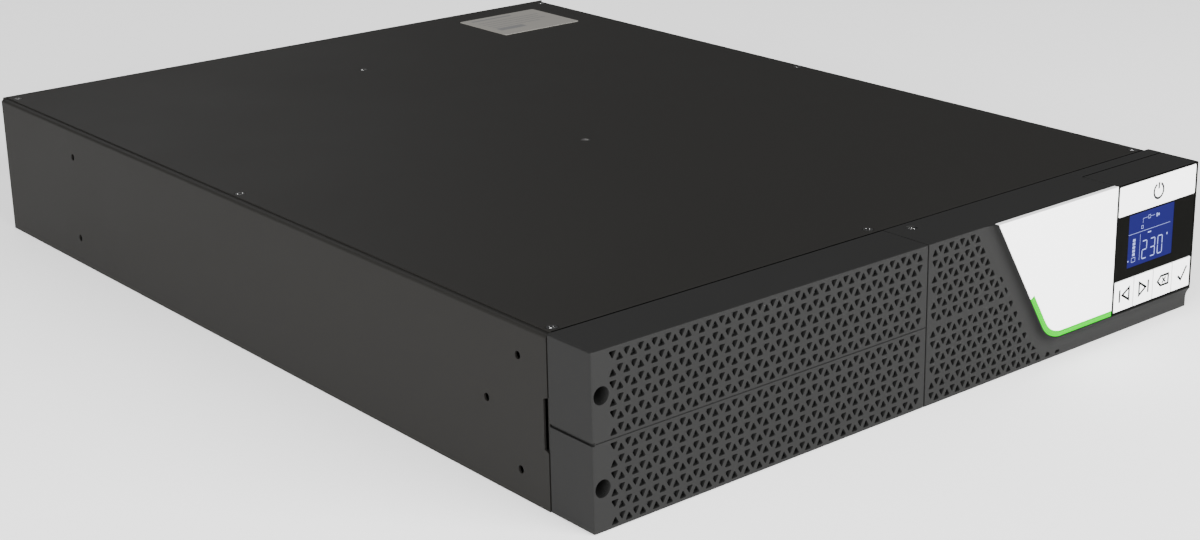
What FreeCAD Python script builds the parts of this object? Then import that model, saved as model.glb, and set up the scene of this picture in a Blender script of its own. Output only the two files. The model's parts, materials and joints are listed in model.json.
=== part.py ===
import FreeCAD, Part
import math
import os

from FreeCAD import Vector

# A rack or tower uninterruptible power supply, two rack units high. Millimetres.
# +Z is up, the front bezel faces -Y and the origin is at the bottom centre.

# ---------------------------------------------------------------- driving dimensions
WIDTH = 440.0
HEIGHT = 88.0
DEPTH = 608.0
SHEET = 1.2                 # folded steel of the chassis
LABEL_THICKNESS = 0.1
GAP = 0.3                   # clearance round anything that moves or comes off

RAISED_DEPTH = 3.0          # the white plate and the display stand proud of the grille by this
REAR_PROJECTION = 2.6       # fan guards and sockets stand proud of the rear panel by this
BEZEL_DEPTH = 32.0
BEZEL_HEIGHT = 87.4
BEZEL_WALL = 2.2

HALF = WIDTH / 2
Y_FRONT = -DEPTH / 2
Y_GRILLE = Y_FRONT + RAISED_DEPTH
Y_CHASSIS = Y_GRILLE + BEZEL_DEPTH
Y_REAR = DEPTH / 2 - REAR_PROJECTION
Y_REAR_INNER = Y_REAR - SHEET
INNER = HALF - SHEET

COVER_TOP = HEIGHT - LABEL_THICKNESS
FLANGE_TOP = 86.8
FLANGE_WIDTH = 14.0
CEILING = FLANGE_TOP - SHEET
COVER_INSET = 3.5           # the cover lies inside the bent top edges of the side walls

DIVIDER_X = -1.6            # left face of the wall between battery bay and electronics
DOOR_RIGHT = -2.6           # right edge of the battery door
BEZEL_LEFT = -2.0           # left edge of the fixed bezel
SEAM_Z = 43.9               # the groove that splits the front into two equal bands

# Air grille: equilateral triangles that point up and down by turns.
GRILLE_PITCH = 8.13
GRILLE_ROW = GRILLE_PITCH * math.sqrt(3) / 2
GRILLE_RIB = 2.15
GRILLE_ROWS = 6             # rows above the seam, and as many below
GRILLE_TOPS = (86.6, 43.0)  # top of the upper and of the lower block of rows
DOOR_GRILLE_X = -207.7
DOOR_GRILLE_CELLS = 50
FRONT_WALL = 2.5

# White plate with a slanted, rounded left edge, on the fixed bezel.
PLATE_TOP_X = 48.0
PLATE_RIGHT = 146.9
PLATE_BOTTOM = 12.8
PLATE_SLANT = math.radians(30.7)
PLATE_RADIUS = 18.5
STRIP_WIDTH = 3.2           # green light strip along the plate's lower edge
STRIP_START_Z = 40.0
BAND_WIDTH = 9.0            # hollow curved band round the plate
BAND_HEIGHT = 2.4
BAND_STEPS = 6

# Square display module in the right-hand corner of the bezel.
MODULE_LEFT = 147.5
MODULE_BOTTOM = 12.9
MODULE_TOP = 87.3
MODULE_BACK = Y_FRONT + 25.0
MODULE_WALL = 0.9
KEY_ROW_TOP = 31.9
LENS_TOP = 69.2
KEY_GAP = 0.2

# Battery pack: two columns of three blocks lying on their sides.
BLOCK = (94.0, 151.0, 65.0)
PACK_LEFT = -204.5
PACK_RIGHT = -4.5
PACK_FRONT = Y_CHASSIS + 3.0
PACK_BACK = PACK_FRONT + 3 * BLOCK[1] + 6.0
BAY_BACK = PACK_BACK + 22.0

# Fans in the rear panel, behind the electronics.
FAN_SIZE = 80.0
FAN_DEPTH = 25.0
FAN_BORE = 38.0
FAN_Z = 43.4
FAN_X = {"inner": 88.0, "outer": 172.0}

# Rear sockets, by centre.
OUTLET_COLUMNS = (-196.0, -160.0, -124.0)
OUTLET_ROWS = (23.0, 62.0)
INLET_CENTRE = (-56.0, 24.0)
INLET_BLADES = (-6.5, 0.0, 6.5)
BREAKER_CENTRE = (-84.0, 64.0)
SLOT_COVER = (-70.0, -8.0, 50.0, 80.0)
GROUND_SCREW = (-16.0, 22.0)
SERIAL_CENTRE = (24.0, 68.0)
USB_CENTRE = (12.0, 46.0)
STOP_CENTRE = (34.0, 46.0)
NETWORK_CENTRES = ((14.5, 20.0), (33.5, 20.0))

MAIN_BOARD_Z = 8.0


# ---------------------------------------------------------------- helpers
def box(x0, x1, y0, y1, z0, z1):
    return Part.makeBox(x1 - x0, y1 - y0, z1 - z0, Vector(x0, y0, z0))


def rod_x(x0, x1, y, z, radius):
    return Part.makeCylinder(radius, x1 - x0, Vector(x0, y, z), Vector(1, 0, 0))


def rod_y(x, z, y0, y1, radius):
    return Part.makeCylinder(radius, y1 - y0, Vector(x, y0, z), Vector(0, 1, 0))


def rod_z(x, y, z0, z1, radius):
    return Part.makeCylinder(radius, z1 - z0, Vector(x, y, z0))


def cone_z(x, y, z0, z1, radius0, radius1):
    return Part.makeCone(radius0, radius1, z1 - z0, Vector(x, y, z0))


def polygon_xz(points, y):
    corners = [Vector(x, y, z) for x, z in points]
    return Part.makePolygon(corners + corners[:1])


def prism_y(points, y0, y1):
    return Part.Face(polygon_xz(points, y0)).extrude(Vector(0, y1 - y0, 0))


def prism_x(points, x0, x1):
    corners = [Vector(x0, y, z) for y, z in points]
    return Part.Face(Part.makePolygon(corners + corners[:1])).extrude(Vector(x1 - x0, 0, 0))


def join(shapes):
    shapes = list(shapes)
    return shapes[0].multiFuse(shapes[1:]).removeSplitter()


def carve(shape, tools):
    return shape.cut(Part.makeCompound(list(tools)))


def save(node, shape):
    shapes = shape if isinstance(shape, list) else [shape]
    solids = [solid for item in shapes for solid in item.Solids]
    for solid in solids:
        if not solid.isValid() or solid.Volume <= 0:
            raise ValueError(node + " has a bad solid")
    whole = solids[0] if len(solids) == 1 else Part.makeCompound(solids)
    whole.exportStep("parts/" + node + ".step")


def rectangle_xz(centre, width, height):
    x, z = centre
    return [
        (x - width / 2, z - height / 2),
        (x + width / 2, z - height / 2),
        (x + width / 2, z + height / 2),
        (x - width / 2, z + height / 2),
    ]


def block_y(centre, width, height, y0, y1):
    return prism_y(rectangle_xz(centre, width, height), y0, y1)


# ---------------------------------------------------------------- grille pattern
def triangle(x, band_bottom, points_up):
    """A hole of the grille in the cell whose middle is x, in a row that starts at band_bottom."""
    side = GRILLE_PITCH - GRILLE_RIB * math.sqrt(3)
    tall = side * math.sqrt(3) / 2
    third = GRILLE_ROW / 3
    if points_up:
        base = band_bottom + third - tall / 3
        return [(x - side / 2, base), (x + side / 2, base), (x, base + tall)]
    base = band_bottom + 2 * third + tall / 3
    return [(x - side / 2, base), (x, base - tall), (x + side / 2, base)]


def grille_holes(first_x, cells, first_points_up, keep):
    """Holes of both blocks of rows; keep(points) says whether a hole has room."""
    holes = []
    for top in GRILLE_TOPS:
        for row in range(GRILLE_ROWS):
            bottom = top - (row + 1) * GRILLE_ROW
            for cell in range(cells):
                points_up = (row + cell) % 2 == (0 if first_points_up else 1)
                points = triangle(first_x + cell * GRILLE_PITCH / 2, bottom, points_up)
                if keep(points):
                    holes.append(points)
    return holes


def perforated_wall(outline, holes, y0, y1):
    """Plate with holes; the outline runs one way round and each hole the other."""
    wires = [polygon_xz(outline, y0)] + [polygon_xz(points[::-1], y0) for points in holes]
    return Part.Face(wires).extrude(Vector(0, y1 - y0, 0))


# ---------------------------------------------------------------- chassis
SIDE_HOLE_RADIUS = 2.0
FRONT_PAIR_Y = Y_GRILLE + 53.5
FRONT_SINGLE_Y = Y_GRILLE + 78.8
REAR_PAIR_Y = Y_GRILLE + 504.0
SIDE_HOLES = (
    (FRONT_PAIR_Y, 71.3),
    (FRONT_PAIR_Y, 14.3),
    (FRONT_SINGLE_Y, 42.8),
    (REAR_PAIR_Y, 69.0),
    (REAR_PAIR_Y, 17.0),
)
NOTCH = (29.0, 57.0, 3.0)          # lowest, highest and depth of the notch in each side wall
DOOR_SCREWS = ((-214.5, 66.2), (-214.5, 21.4))
EDGE_SCREW_Y = (Y_GRILLE + 37.0, Y_GRILLE + 313.0, Y_GRILLE + 594.0)
MIDDLE_SCREW_Y = (Y_GRILLE + 38.5, Y_GRILLE + 269.0, Y_GRILLE + 507.0)
COVER_SCREWS = (
    [(-212.5, y) for y in EDGE_SCREW_Y]
    + [(-6.0, y) for y in MIDDLE_SCREW_Y]
    + [(212.5, y) for y in EDGE_SCREW_Y]
)
BEZEL_SCREW = (12.0, Y_GRILLE + 25.0)
BEZEL_BOSS_DEPTH = 4.0
SCREW_RADIUS = 1.5
SCREW_HEAD = 2.8


def chassis_tray():
    """Floor, side walls, inward top flanges and narrow front flanges, folded from one sheet."""
    pieces = [box(-HALF, HALF, Y_CHASSIS, Y_REAR, 0, SHEET)]
    for side in (-1, 1):
        wall = sorted((side * INNER, side * HALF))
        top = sorted((side * HALF, side * (HALF - FLANGE_WIDTH)))
        pieces.append(box(wall[0], wall[1], Y_CHASSIS, Y_REAR, 0, FLANGE_TOP))
        pieces.append(box(top[0], top[1], Y_CHASSIS, Y_REAR_INNER, CEILING, FLANGE_TOP))
        pieces.append(box(top[0], top[1], Y_CHASSIS, Y_CHASSIS + SHEET, 0, FLANGE_TOP))
    tray = join(pieces)
    tray = tray.makeFillet(1.9, long_edges(tray, HALF, FLANGE_TOP))
    low, high, deep = NOTCH
    cuts = []
    for side in (-1, 1):
        outline = [
            (Y_CHASSIS - 1, low),
            (Y_CHASSIS + deep, low + deep / 2),
            (Y_CHASSIS + deep, high - deep / 2),
            (Y_CHASSIS - 1, high),
        ]
        left = side * HALF - (0 if side < 0 else SHEET)
        cuts.append(prism_x(outline, left - 0.01, left + SHEET + 0.01))
        for y, z in SIDE_HOLES:
            cuts.append(rod_x(left - 1, left + SHEET + 1, y, z, SIDE_HOLE_RADIUS))
        for y in EDGE_SCREW_Y:
            cuts.append(rod_z(side * 212.5, y, CEILING - 1, FLANGE_TOP + 1, SCREW_RADIUS + 0.1))
    for x, z in DOOR_SCREWS:
        cuts.append(rod_y(x, z, Y_CHASSIS - 1, Y_CHASSIS + SHEET + 1, SCREW_RADIUS + GAP))
    return carve(tray, cuts)


def long_edges(shape, x, z):
    """The straight edges along Y at plus or minus x and at height z."""
    found = []
    for edge in shape.Edges:
        middle = edge.CenterOfMass
        if abs(abs(middle.x) - x) < 0.01 and abs(middle.z - z) < 0.01:
            if edge.Length > 100:
                found.append(edge)
    return found


def centre_divider():
    """Wall between the battery bay and the electronics, with a top flange for the cover's screws."""
    wall = box(DIVIDER_X, DIVIDER_X + SHEET, Y_CHASSIS, Y_REAR_INNER, SHEET, FLANGE_TOP)
    flange = box(-12.0, DIVIDER_X + SHEET, Y_CHASSIS, Y_REAR_INNER, CEILING, FLANGE_TOP)
    foot = box(DIVIDER_X, 8.0, Y_CHASSIS + 3 * SHEET, Y_REAR_INNER, SHEET, 2 * SHEET)
    holes = [rod_z(-6.0, y, CEILING - 1, FLANGE_TOP + 1, SCREW_RADIUS + 0.1) for y in MIDDLE_SCREW_Y]
    window = box(DIVIDER_X - 1, DIVIDER_X + 3, BAY_BACK + 16.0, BAY_BACK + 48.0, 13.0, 36.0)
    return carve(join([wall, flange, foot]), holes + [window])


def front_plate():
    """Steel plate behind the fixed bezel, with slots for air and a window for the display's lead."""
    plate = box(DIVIDER_X + SHEET, HALF - FLANGE_WIDTH, Y_CHASSIS, Y_CHASSIS + SHEET, SHEET, CEILING)
    slots = []
    for column in range(8):
        for row in range(6):
            x = 12.0 + column * 16.0
            z = 12.0 + row * 11.5
            slots.append(box(x, x + 11.0, Y_CHASSIS - 1, Y_CHASSIS + 3, z, z + 6.0))
    slots.append(box(160.0, 190.0, Y_CHASSIS - 1, Y_CHASSIS + 3, 36.0, 60.0))
    return carve(plate, slots)


def bay_rear_wall():
    """Wall at the end of the battery bay."""
    wall = box(-INNER, DIVIDER_X, BAY_BACK, BAY_BACK + SHEET, SHEET, CEILING)
    return carve(wall, [block_y((-56.0, 30.0), 34.0, 20.0, BAY_BACK - 1, BAY_BACK + 3)])


def top_cover():
    sheet = box(-HALF + COVER_INSET, HALF - COVER_INSET, Y_CHASSIS + 0.6, Y_REAR_INNER - 0.2,
                FLANGE_TOP, COVER_TOP)
    sinks = [cone_z(x, y, FLANGE_TOP - 0.1, COVER_TOP + 0.1, SCREW_RADIUS + 0.1, SCREW_HEAD + 0.2)
             for x, y in COVER_SCREWS]
    return carve(sheet, sinks)


def cover_screw(x, y, top=COVER_TOP):
    """Countersunk screw with a cross recess, flush with the surface at height top."""
    head = cone_z(x, y, top - 1.1, top - 0.05, SCREW_RADIUS - 0.05, SCREW_HEAD)
    shank = rod_z(x, y, top - 6.1, top - 0.9, SCREW_RADIUS - 0.05)
    arms = [box(x - 1.4, x + 1.4, y - 0.3, y + 0.3, top - 0.7, top + 1),
            box(x - 0.3, x + 0.3, y - 1.4, y + 1.4, top - 0.7, top + 1)]
    return carve(join([head, shank]), arms)


def rating_label():
    return box(122.0, 194.0, Y_GRILLE + 524.0, Y_GRILLE + 581.0, COVER_TOP, HEIGHT)


# ---------------------------------------------------------------- battery door
def bezel_shell(x0, x1, back):
    """Top, bottom and end walls of a bezel half, open at the front and back."""
    outer = box(x0, x1, Y_GRILLE, back, 0, BEZEL_HEIGHT)
    inner = box(x0 + BEZEL_WALL, x1 - BEZEL_WALL, Y_GRILLE - 1, back + 1,
                BEZEL_WALL, BEZEL_HEIGHT - BEZEL_WALL)
    return outer.cut(inner)


def battery_door():
    """Left half of the front: a perforated moulding with a groove round it at half height."""
    outline = [(-HALF, 0), (DOOR_RIGHT, 0), (DOOR_RIGHT, BEZEL_HEIGHT), (-HALF, BEZEL_HEIGHT)]
    holes = grille_holes(DOOR_GRILLE_X, DOOR_GRILLE_CELLS, False, lambda points: True)
    wall = perforated_wall(outline, holes, Y_GRILLE, Y_GRILLE + FRONT_WALL)
    back = Y_CHASSIS - GAP
    shell = bezel_shell(-HALF, DOOR_RIGHT, back)
    posts = [block_y(centre, 11.0, 12.0, Y_GRILLE + FRONT_WALL, back - 1.0) for centre in DOOR_SCREWS]
    lands = [box(-HALF, -HALF + 6.0, Y_GRILLE + 1.0, back, SEAM_Z - 2.4, SEAM_Z + 2.4)]
    door = wall.multiFuse([shell] + posts + lands)
    cuts = [
        box(-HALF - 1, DOOR_RIGHT + 1, Y_GRILLE - 1, Y_GRILLE + 0.6, SEAM_Z - 0.35, SEAM_Z + 0.35),
        box(-HALF - 1, -HALF + 1.4, Y_GRILLE - 1, back + 1, SEAM_Z - 0.8, SEAM_Z + 0.8),
    ]
    for x, z in DOOR_SCREWS:
        cuts.append(rod_y(x, z, Y_GRILLE - 1, back - 5.0, 4.35))
        cuts.append(rod_y(x, z, back - 6.0, back + 1, SCREW_RADIUS + GAP))
    return carve(door, cuts)


def door_filter():
    """Sheet of open foam behind the door's grille."""
    y0 = Y_GRILLE + FRONT_WALL
    return box(-206.0, DOOR_RIGHT - BEZEL_WALL - GAP, y0, y0 + 4.0,
               BEZEL_WALL + GAP, BEZEL_HEIGHT - BEZEL_WALL - GAP)


def door_screw(x, z):
    """Captive screw at the bottom of a deep hole in the door."""
    seat = Y_CHASSIS - GAP - 5.0
    head = rod_y(x, z, seat - 3.2, seat, 3.4)
    shank = rod_y(x, z, seat - 0.5, Y_CHASSIS + 5.0, SCREW_RADIUS)
    arms = [box(x - 2.0, x + 2.0, seat - 4.0, seat - 1.6, z - 0.4, z + 0.4),
            box(x - 0.4, x + 0.4, seat - 4.0, seat - 1.6, z - 2.0, z + 2.0)]
    return carve(join([head, shank]), arms)


# ---------------------------------------------------------------- fixed bezel
def plate_geometry():
    """Outward normal of the slanted edge, and the centre of the rounded corner."""
    normal = (-math.cos(PLATE_SLANT), -math.sin(PLATE_SLANT))
    centre_z = PLATE_BOTTOM + PLATE_RADIUS
    centre_x = PLATE_TOP_X + (PLATE_RADIUS + normal[1] * (centre_z - BEZEL_HEIGHT)) / -normal[0]
    return normal, (centre_x, centre_z)


def plate_outline(offset, right, y, top=BEZEL_HEIGHT):
    """Closed wire of the plate's outline, moved outwards by offset, at depth y."""
    normal, centre = plate_geometry()
    radius = PLATE_RADIUS + offset
    middle_angle = (math.atan2(normal[1], normal[0]) - math.pi / 2) / 2
    top_x = PLATE_TOP_X + (offset + normal[1] * (BEZEL_HEIGHT - top)) / normal[0]
    first = Vector(centre[0] + radius * normal[0], y, centre[1] + radius * normal[1])
    middle = Vector(centre[0] + radius * math.cos(middle_angle), y,
                    centre[1] + radius * math.sin(middle_angle))
    last = Vector(centre[0], y, centre[1] - radius)
    corners = [Vector(top_x, y, top), first, last,
               Vector(right, y, PLATE_BOTTOM - offset), Vector(right, y, top)]
    edges = [
        Part.makeLine(corners[0], corners[1]),
        Part.Arc(first, middle, last).toShape(),
        Part.makeLine(corners[2], corners[3]),
        Part.makeLine(corners[3], corners[4]),
        Part.makeLine(corners[4], corners[0]),
    ]
    return Part.Wire(edges)


def plate_prism(offset, right, y0, y1):
    return Part.Face(plate_outline(offset, right, y0)).extrude(Vector(0, y1 - y0, 0))


def curved_band():
    """Raised ground round the plate: it rises from the grille in a hollow curve to a narrow lip."""
    sections = []
    for step in range(BAND_STEPS + 1):
        turn = math.pi / 2 * step / BAND_STEPS
        offset = BAND_WIDTH - (BAND_WIDTH - 0.8) * math.sin(turn)
        rise = BAND_HEIGHT * (1 - math.cos(turn))
        sections.append(plate_outline(offset, HALF, Y_GRILLE - rise))
    return Part.makeLoft(sections, True, True)


def clear_of_band(points):
    """Whether a grille hole lies outside the curved band and clear of the bottom edge."""
    normal, centre = plate_geometry()
    for x, z in points:
        along_slant = normal[0] * (x - PLATE_TOP_X) + normal[1] * (z - BEZEL_HEIGHT)
        beside = x < centre[0] + (PLATE_RADIUS + BAND_WIDTH) * normal[0]
        if z > centre[1] or beside:
            distance = along_slant
        else:
            distance = math.hypot(x - centre[0], z - centre[1]) - PLATE_RADIUS
            distance = distance if x < centre[0] else PLATE_BOTTOM - z
        if distance < BAND_WIDTH + 0.4:
            return False
    return True


def display_bezel():
    """Right half of the front: grille, curved band and the bay for the display module."""
    outline = [(BEZEL_LEFT, 0), (HALF, 0), (HALF, BEZEL_HEIGHT), (BEZEL_LEFT, BEZEL_HEIGHT)]
    holes = grille_holes(2.8, 28, True, clear_of_band)
    wall = perforated_wall(outline, holes, Y_GRILLE, Y_GRILLE + FRONT_WALL)
    shell = bezel_shell(BEZEL_LEFT, HALF, Y_CHASSIS)
    bay_left = MODULE_LEFT - GAP
    bay_back = MODULE_BACK + GAP
    floor_z = MODULE_BOTTOM - GAP
    lining = [
        box(bay_left - 2.0, bay_left, Y_GRILLE + 1.0, bay_back + 2.0, 1.0, BEZEL_HEIGHT),
        box(bay_left - 2.0, HALF, bay_back, bay_back + 2.0, 1.0, BEZEL_HEIGHT),
        box(bay_left - 2.0, HALF, Y_GRILLE + 1.0, bay_back + 2.0, floor_z - 2.0, floor_z),
    ]
    boss_z = BEZEL_HEIGHT - BEZEL_WALL - BEZEL_BOSS_DEPTH
    boss = rod_z(*BEZEL_SCREW, boss_z, BEZEL_HEIGHT - 1.0, 4.0)
    bezel = wall.multiFuse([shell, curved_band(), boss] + lining)
    cuts = [
        rod_z(*BEZEL_SCREW, boss_z - 1, BEZEL_HEIGHT, SCREW_RADIUS),
        cone_z(*BEZEL_SCREW, BEZEL_HEIGHT - 1.2, BEZEL_HEIGHT + 0.1, SCREW_RADIUS + 0.1, SCREW_HEAD + 0.2),
        plate_prism(0.15, MODULE_LEFT, Y_FRONT - 1, Y_GRILLE),
        box(bay_left, HALF + 1, Y_FRONT - 1, bay_back, floor_z, BEZEL_HEIGHT + 1),
        box(172.0, 196.0, bay_back - 1, bay_back + 3, 40.0, 56.0),
    ]
    return carve(bezel, cuts)


def strip_region():
    """Everything inside the green strip's range: the lower left corner and the lower edge."""
    return box(0, PLATE_RIGHT + 1, Y_FRONT - 1, Y_GRILLE + 1, 0, STRIP_START_Z)


def trim_strip():
    """Green light guide that follows the lower edge of the white plate."""
    ring = plate_prism(0, PLATE_RIGHT, Y_FRONT + 0.15, Y_GRILLE)
    ring = ring.cut(plate_prism(-STRIP_WIDTH, PLATE_RIGHT + 1, Y_FRONT - 1, Y_GRILLE + 1))
    return ring.common(strip_region())


def trim_plate():
    """White plate, cut back where the green strip runs."""
    whole = plate_prism(0, PLATE_RIGHT, Y_FRONT, Y_GRILLE)
    room = plate_prism(1, PLATE_RIGHT + 1, Y_FRONT - 1, Y_GRILLE + 1)
    room = room.cut(plate_prism(-STRIP_WIDTH - 0.05, PLATE_RIGHT + 2, Y_FRONT - 2, Y_GRILLE + 2))
    return whole.cut(room.common(strip_region()))


def bezel_filter():
    y0 = Y_GRILLE + FRONT_WALL
    return box(BEZEL_LEFT + BEZEL_WALL + GAP, 100.0, y0, y0 + 4.0,
               BEZEL_WALL + GAP, BEZEL_HEIGHT - BEZEL_WALL - GAP)


# ---------------------------------------------------------------- display module
KEY_LEFT = MODULE_LEFT + MODULE_WALL
KEY_WIDTH = (HALF - MODULE_WALL - KEY_LEFT) / 4
KEYS = ("key_previous", "key_next", "key_back", "key_confirm")
BOARD_Y = Y_FRONT + 13.0
LCD = (158.8, 199.6, 37.8, 68.4)


def display_housing():
    """Open-fronted box with a bar each side of the lens and a slot in its back for the lead."""
    outer = box(MODULE_LEFT, HALF, Y_FRONT + 0.1, MODULE_BACK, MODULE_BOTTOM, MODULE_TOP)
    inner = box(KEY_LEFT, HALF - MODULE_WALL, Y_FRONT - 1, MODULE_BACK - 1.6,
                MODULE_BOTTOM + MODULE_WALL, MODULE_TOP - 0.4)
    bars = [box(KEY_LEFT, HALF - MODULE_WALL, Y_FRONT + 3.4, Y_FRONT + 12.0, z, z + 1.4)
            for z in (KEY_ROW_TOP + 0.6, LENS_TOP - 2.0)]
    slot = box(174.0, 194.0, MODULE_BACK - 3, MODULE_BACK + 1, 42.0, 54.0)
    return carve(join([outer.cut(inner)] + bars), [slot])


def key(index):
    left = KEY_LEFT + index * KEY_WIDTH + KEY_GAP / 2
    right = left + KEY_WIDTH - KEY_GAP
    cap = box(left, right, Y_FRONT, Y_FRONT + 2.4, MODULE_BOTTOM + 1.1, KEY_ROW_TOP - KEY_GAP)
    middle = (left + right) / 2
    plunger = box(middle - 2.0, middle + 2.0, Y_FRONT + 2.0, Y_FRONT + 8.0, 20.0, 24.0)
    return join([cap, plunger])


def power_button():
    """Full-width white button above the lens."""
    cap = box(KEY_LEFT + KEY_GAP / 2, HALF - MODULE_WALL - KEY_GAP / 2, Y_FRONT, Y_FRONT + 2.4,
              LENS_TOP + KEY_GAP, MODULE_TOP - 0.6)
    plunger = box(181.0, 186.0, Y_FRONT + 2.0, Y_FRONT + 8.0, 76.0, 81.0)
    return join([cap, plunger])


def display_lens():
    return box(KEY_LEFT + 0.05, HALF - MODULE_WALL - 0.05, Y_FRONT + 0.3, Y_FRONT + 2.3,
               KEY_ROW_TOP, LENS_TOP)


def lcd_panel():
    x0, x1, z0, z1 = LCD
    return box(x0 - 2.0, x1 + 2.0, Y_FRONT + 2.4, BOARD_Y, z0 - 2.0, z1 - 1.6)


def display_board():
    return box(KEY_LEFT + 1.0, HALF - MODULE_WALL - 1.0, BOARD_Y, BOARD_Y + 1.6,
               MODULE_BOTTOM + 2.0, MODULE_TOP - 2.0)


def key_switches():
    """Push switches on the board, one behind each key and one behind the power button."""
    spots = [(KEY_LEFT + (index + 0.5) * KEY_WIDTH, 22.0) for index in range(4)]
    spots.append((183.5, 78.5))
    return [block_y(spot, 6.0, 6.0, BOARD_Y - 3.4, BOARD_Y) for spot in spots]


def display_socket():
    """Socket on the back of the display's board, where the lead from the main board plugs in."""
    return block_y((184.0, 48.0), 16.0, 6.0, BOARD_Y + 1.6, BOARD_Y + 8.0)


# ---------------------------------------------------------------- battery pack
COLUMN_X = (PACK_LEFT + 1.2, PACK_RIGHT - 1.2 - BLOCK[0])
BLOCK_Z = 2.7


def block_places(rows=3):
    """Left, front and terminal side of each battery block."""
    for row in range(rows):
        y = PACK_FRONT + 3.0 + row * BLOCK[1]
        yield COLUMN_X[0], y, 1
        yield COLUMN_X[1], y, -1


def battery_tray():
    """Steel tray with a tall front plate that closes the bay."""
    floor = box(PACK_LEFT, PACK_RIGHT, PACK_FRONT, PACK_BACK, 1.5, 2.6)
    walls = [box(PACK_LEFT, PACK_LEFT + 1.1, PACK_FRONT, PACK_BACK, 1.5, 34.0),
             box(PACK_RIGHT - 1.1, PACK_RIGHT, PACK_FRONT, PACK_BACK, 1.5, 34.0),
             box(PACK_LEFT, PACK_RIGHT, PACK_FRONT, PACK_FRONT + 1.1, 1.5, 82.0),
             box(PACK_LEFT, PACK_RIGHT, PACK_BACK - 1.1, PACK_BACK, 1.5, 34.0)]
    holes = [block_y((x, 72.0), 5.0, 4.0, PACK_FRONT - 1, PACK_FRONT + 3) for x in (-140.0, -69.0)]
    return carve(join([floor] + walls), holes)


def battery_blocks():
    """Sealed lead-acid blocks with a lid line round the terminal end."""
    blocks = []
    for x, y, side in block_places():
        body = box(x, x + BLOCK[0], y + 0.2, y + BLOCK[1] - 0.2, BLOCK_Z, BLOCK_Z + BLOCK[2])
        lid_x = x + BLOCK[0] - 12.0 if side > 0 else x + 12.0
        groove = box(lid_x - 0.5, lid_x + 0.5, y - 1, y + BLOCK[1] + 1, BLOCK_Z - 1, BLOCK_Z + 80)
        core = box(lid_x - 1, lid_x + 1, y + 0.9, y + BLOCK[1] - 0.9, BLOCK_Z + 0.6,
                   BLOCK_Z + BLOCK[2] - 0.6)
        blocks.append(body.cut(groove.cut(core)))
    return blocks


def battery_terminals():
    """Two flat tabs on each block; the columns face each other, so the tabs sit at opposite ends."""
    tabs = []
    for x, y, side in block_places():
        root = x + BLOCK[0] if side > 0 else x - 6.4
        near = y + (18.0 if side > 0 else BLOCK[1] - 18.0 - 6.3)
        for z in (12.0, 52.0):
            tabs.append(box(root, root + 6.4, near, near + 6.3, z, z + 0.8))
    return tabs


def battery_links():
    """Insulated links that join each block to the next one in its column."""
    links = []
    for x, y, side in block_places(rows=2):
        near = y + (27.0 if side > 0 else BLOCK[1] - 27.0)
        left = x + BLOCK[0] + 0.5 if side > 0 else x - 4.5
        links.append(box(left, left + 4.0, near, near + BLOCK[1] - 12.0, 30.0, 34.0))
    return links


def battery_strap():
    """Webbing loop that the pack is pulled out by."""
    y0 = PACK_FRONT - 1.6
    strap = box(-145.0, -64.0, y0, y0 + 1.2, 56.0, 74.0)
    hooks = [box(x - 2.0, x + 2.0, y0 + 1.0, PACK_FRONT + 2.4, 70.6, 73.4) for x in (-140.0, -69.0)]
    return join([strap] + hooks)


def battery_plug():
    """Plug on the back of the tray that pushes into the socket in the bay's rear wall."""
    block = block_y((-56.0, 24.0), 28.0, 14.0, PACK_BACK, PACK_BACK + 15.0)
    holes = [rod_y(x, 24.0, PACK_BACK + 3.0, PACK_BACK + 16.0, 3.4) for x in (-64.0, -48.0)]
    return carve(block, holes)


def battery_socket():
    """Fixed half of the battery connector, with two contact pins."""
    base = block_y((-56.0, 24.0), 40.0, 22.0, BAY_BACK - 3.0, BAY_BACK)
    neck = block_y((-56.0, 30.0), 33.6, 9.6, BAY_BACK - 0.5, BAY_BACK + 14.0)
    pins = [rod_y(x, 24.0, BAY_BACK - 17.0, BAY_BACK - 2.0, 3.0) for x in (-64.0, -48.0)]
    return join([base, neck] + pins)


# ---------------------------------------------------------------- electronics
BOARD_TOP = MAIN_BOARD_Z + 1.6
SINK_X = (58.0, 118.0)
SINK_Y = (-40.0, 190.0)


def main_board():
    board = box(12.0, 210.0, -225.0, 262.0, MAIN_BOARD_Z, BOARD_TOP)
    return carve(board, [rod_z(x, y, 0, 20, 1.8) for x, y in STANDOFFS])


STANDOFFS = [(x, y) for x in (20.0, 202.0) for y in (-215.0, 20.0, 252.0)]


def board_standoff(x, y):
    corners = [Vector(x + 3.4 * math.cos(math.radians(60 * n)), y + 3.4 * math.sin(math.radians(60 * n)),
                      SHEET) for n in range(6)]
    post = Part.Face(Part.makePolygon(corners + corners[:1])).extrude(Vector(0, 0, MAIN_BOARD_Z - SHEET))
    screw = rod_z(x, y, MAIN_BOARD_Z - 1.0, BOARD_TOP + 0.2, 1.5)
    head = rod_z(x, y, BOARD_TOP, BOARD_TOP + 2.0, 2.8)
    return join([post, screw, head])


def heat_sink(x):
    """Extruded heat sink: a thick wall with fins along the air's way to the fans."""
    y0, y1 = SINK_Y
    wall = box(x, x + 5.0, y0, y1, BOARD_TOP, BOARD_TOP + 62.0)
    fins = [box(x + 5.0, x + 34.0, y0, y1, BOARD_TOP + 6.0 + n * 9.0, BOARD_TOP + 7.6 + n * 9.0)
            for n in range(7)]
    return join([wall] + fins)


def power_transistors():
    """Flat power packages clamped to the plain side of each heat sink."""
    packages = []
    for x in SINK_X:
        for n in range(8):
            y = SINK_Y[0] + 14.0 + n * 27.0
            packages.append(box(x - 5.0, x, y, y + 16.0, BOARD_TOP + 8.0, BOARD_TOP + 28.0))
    return packages


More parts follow.
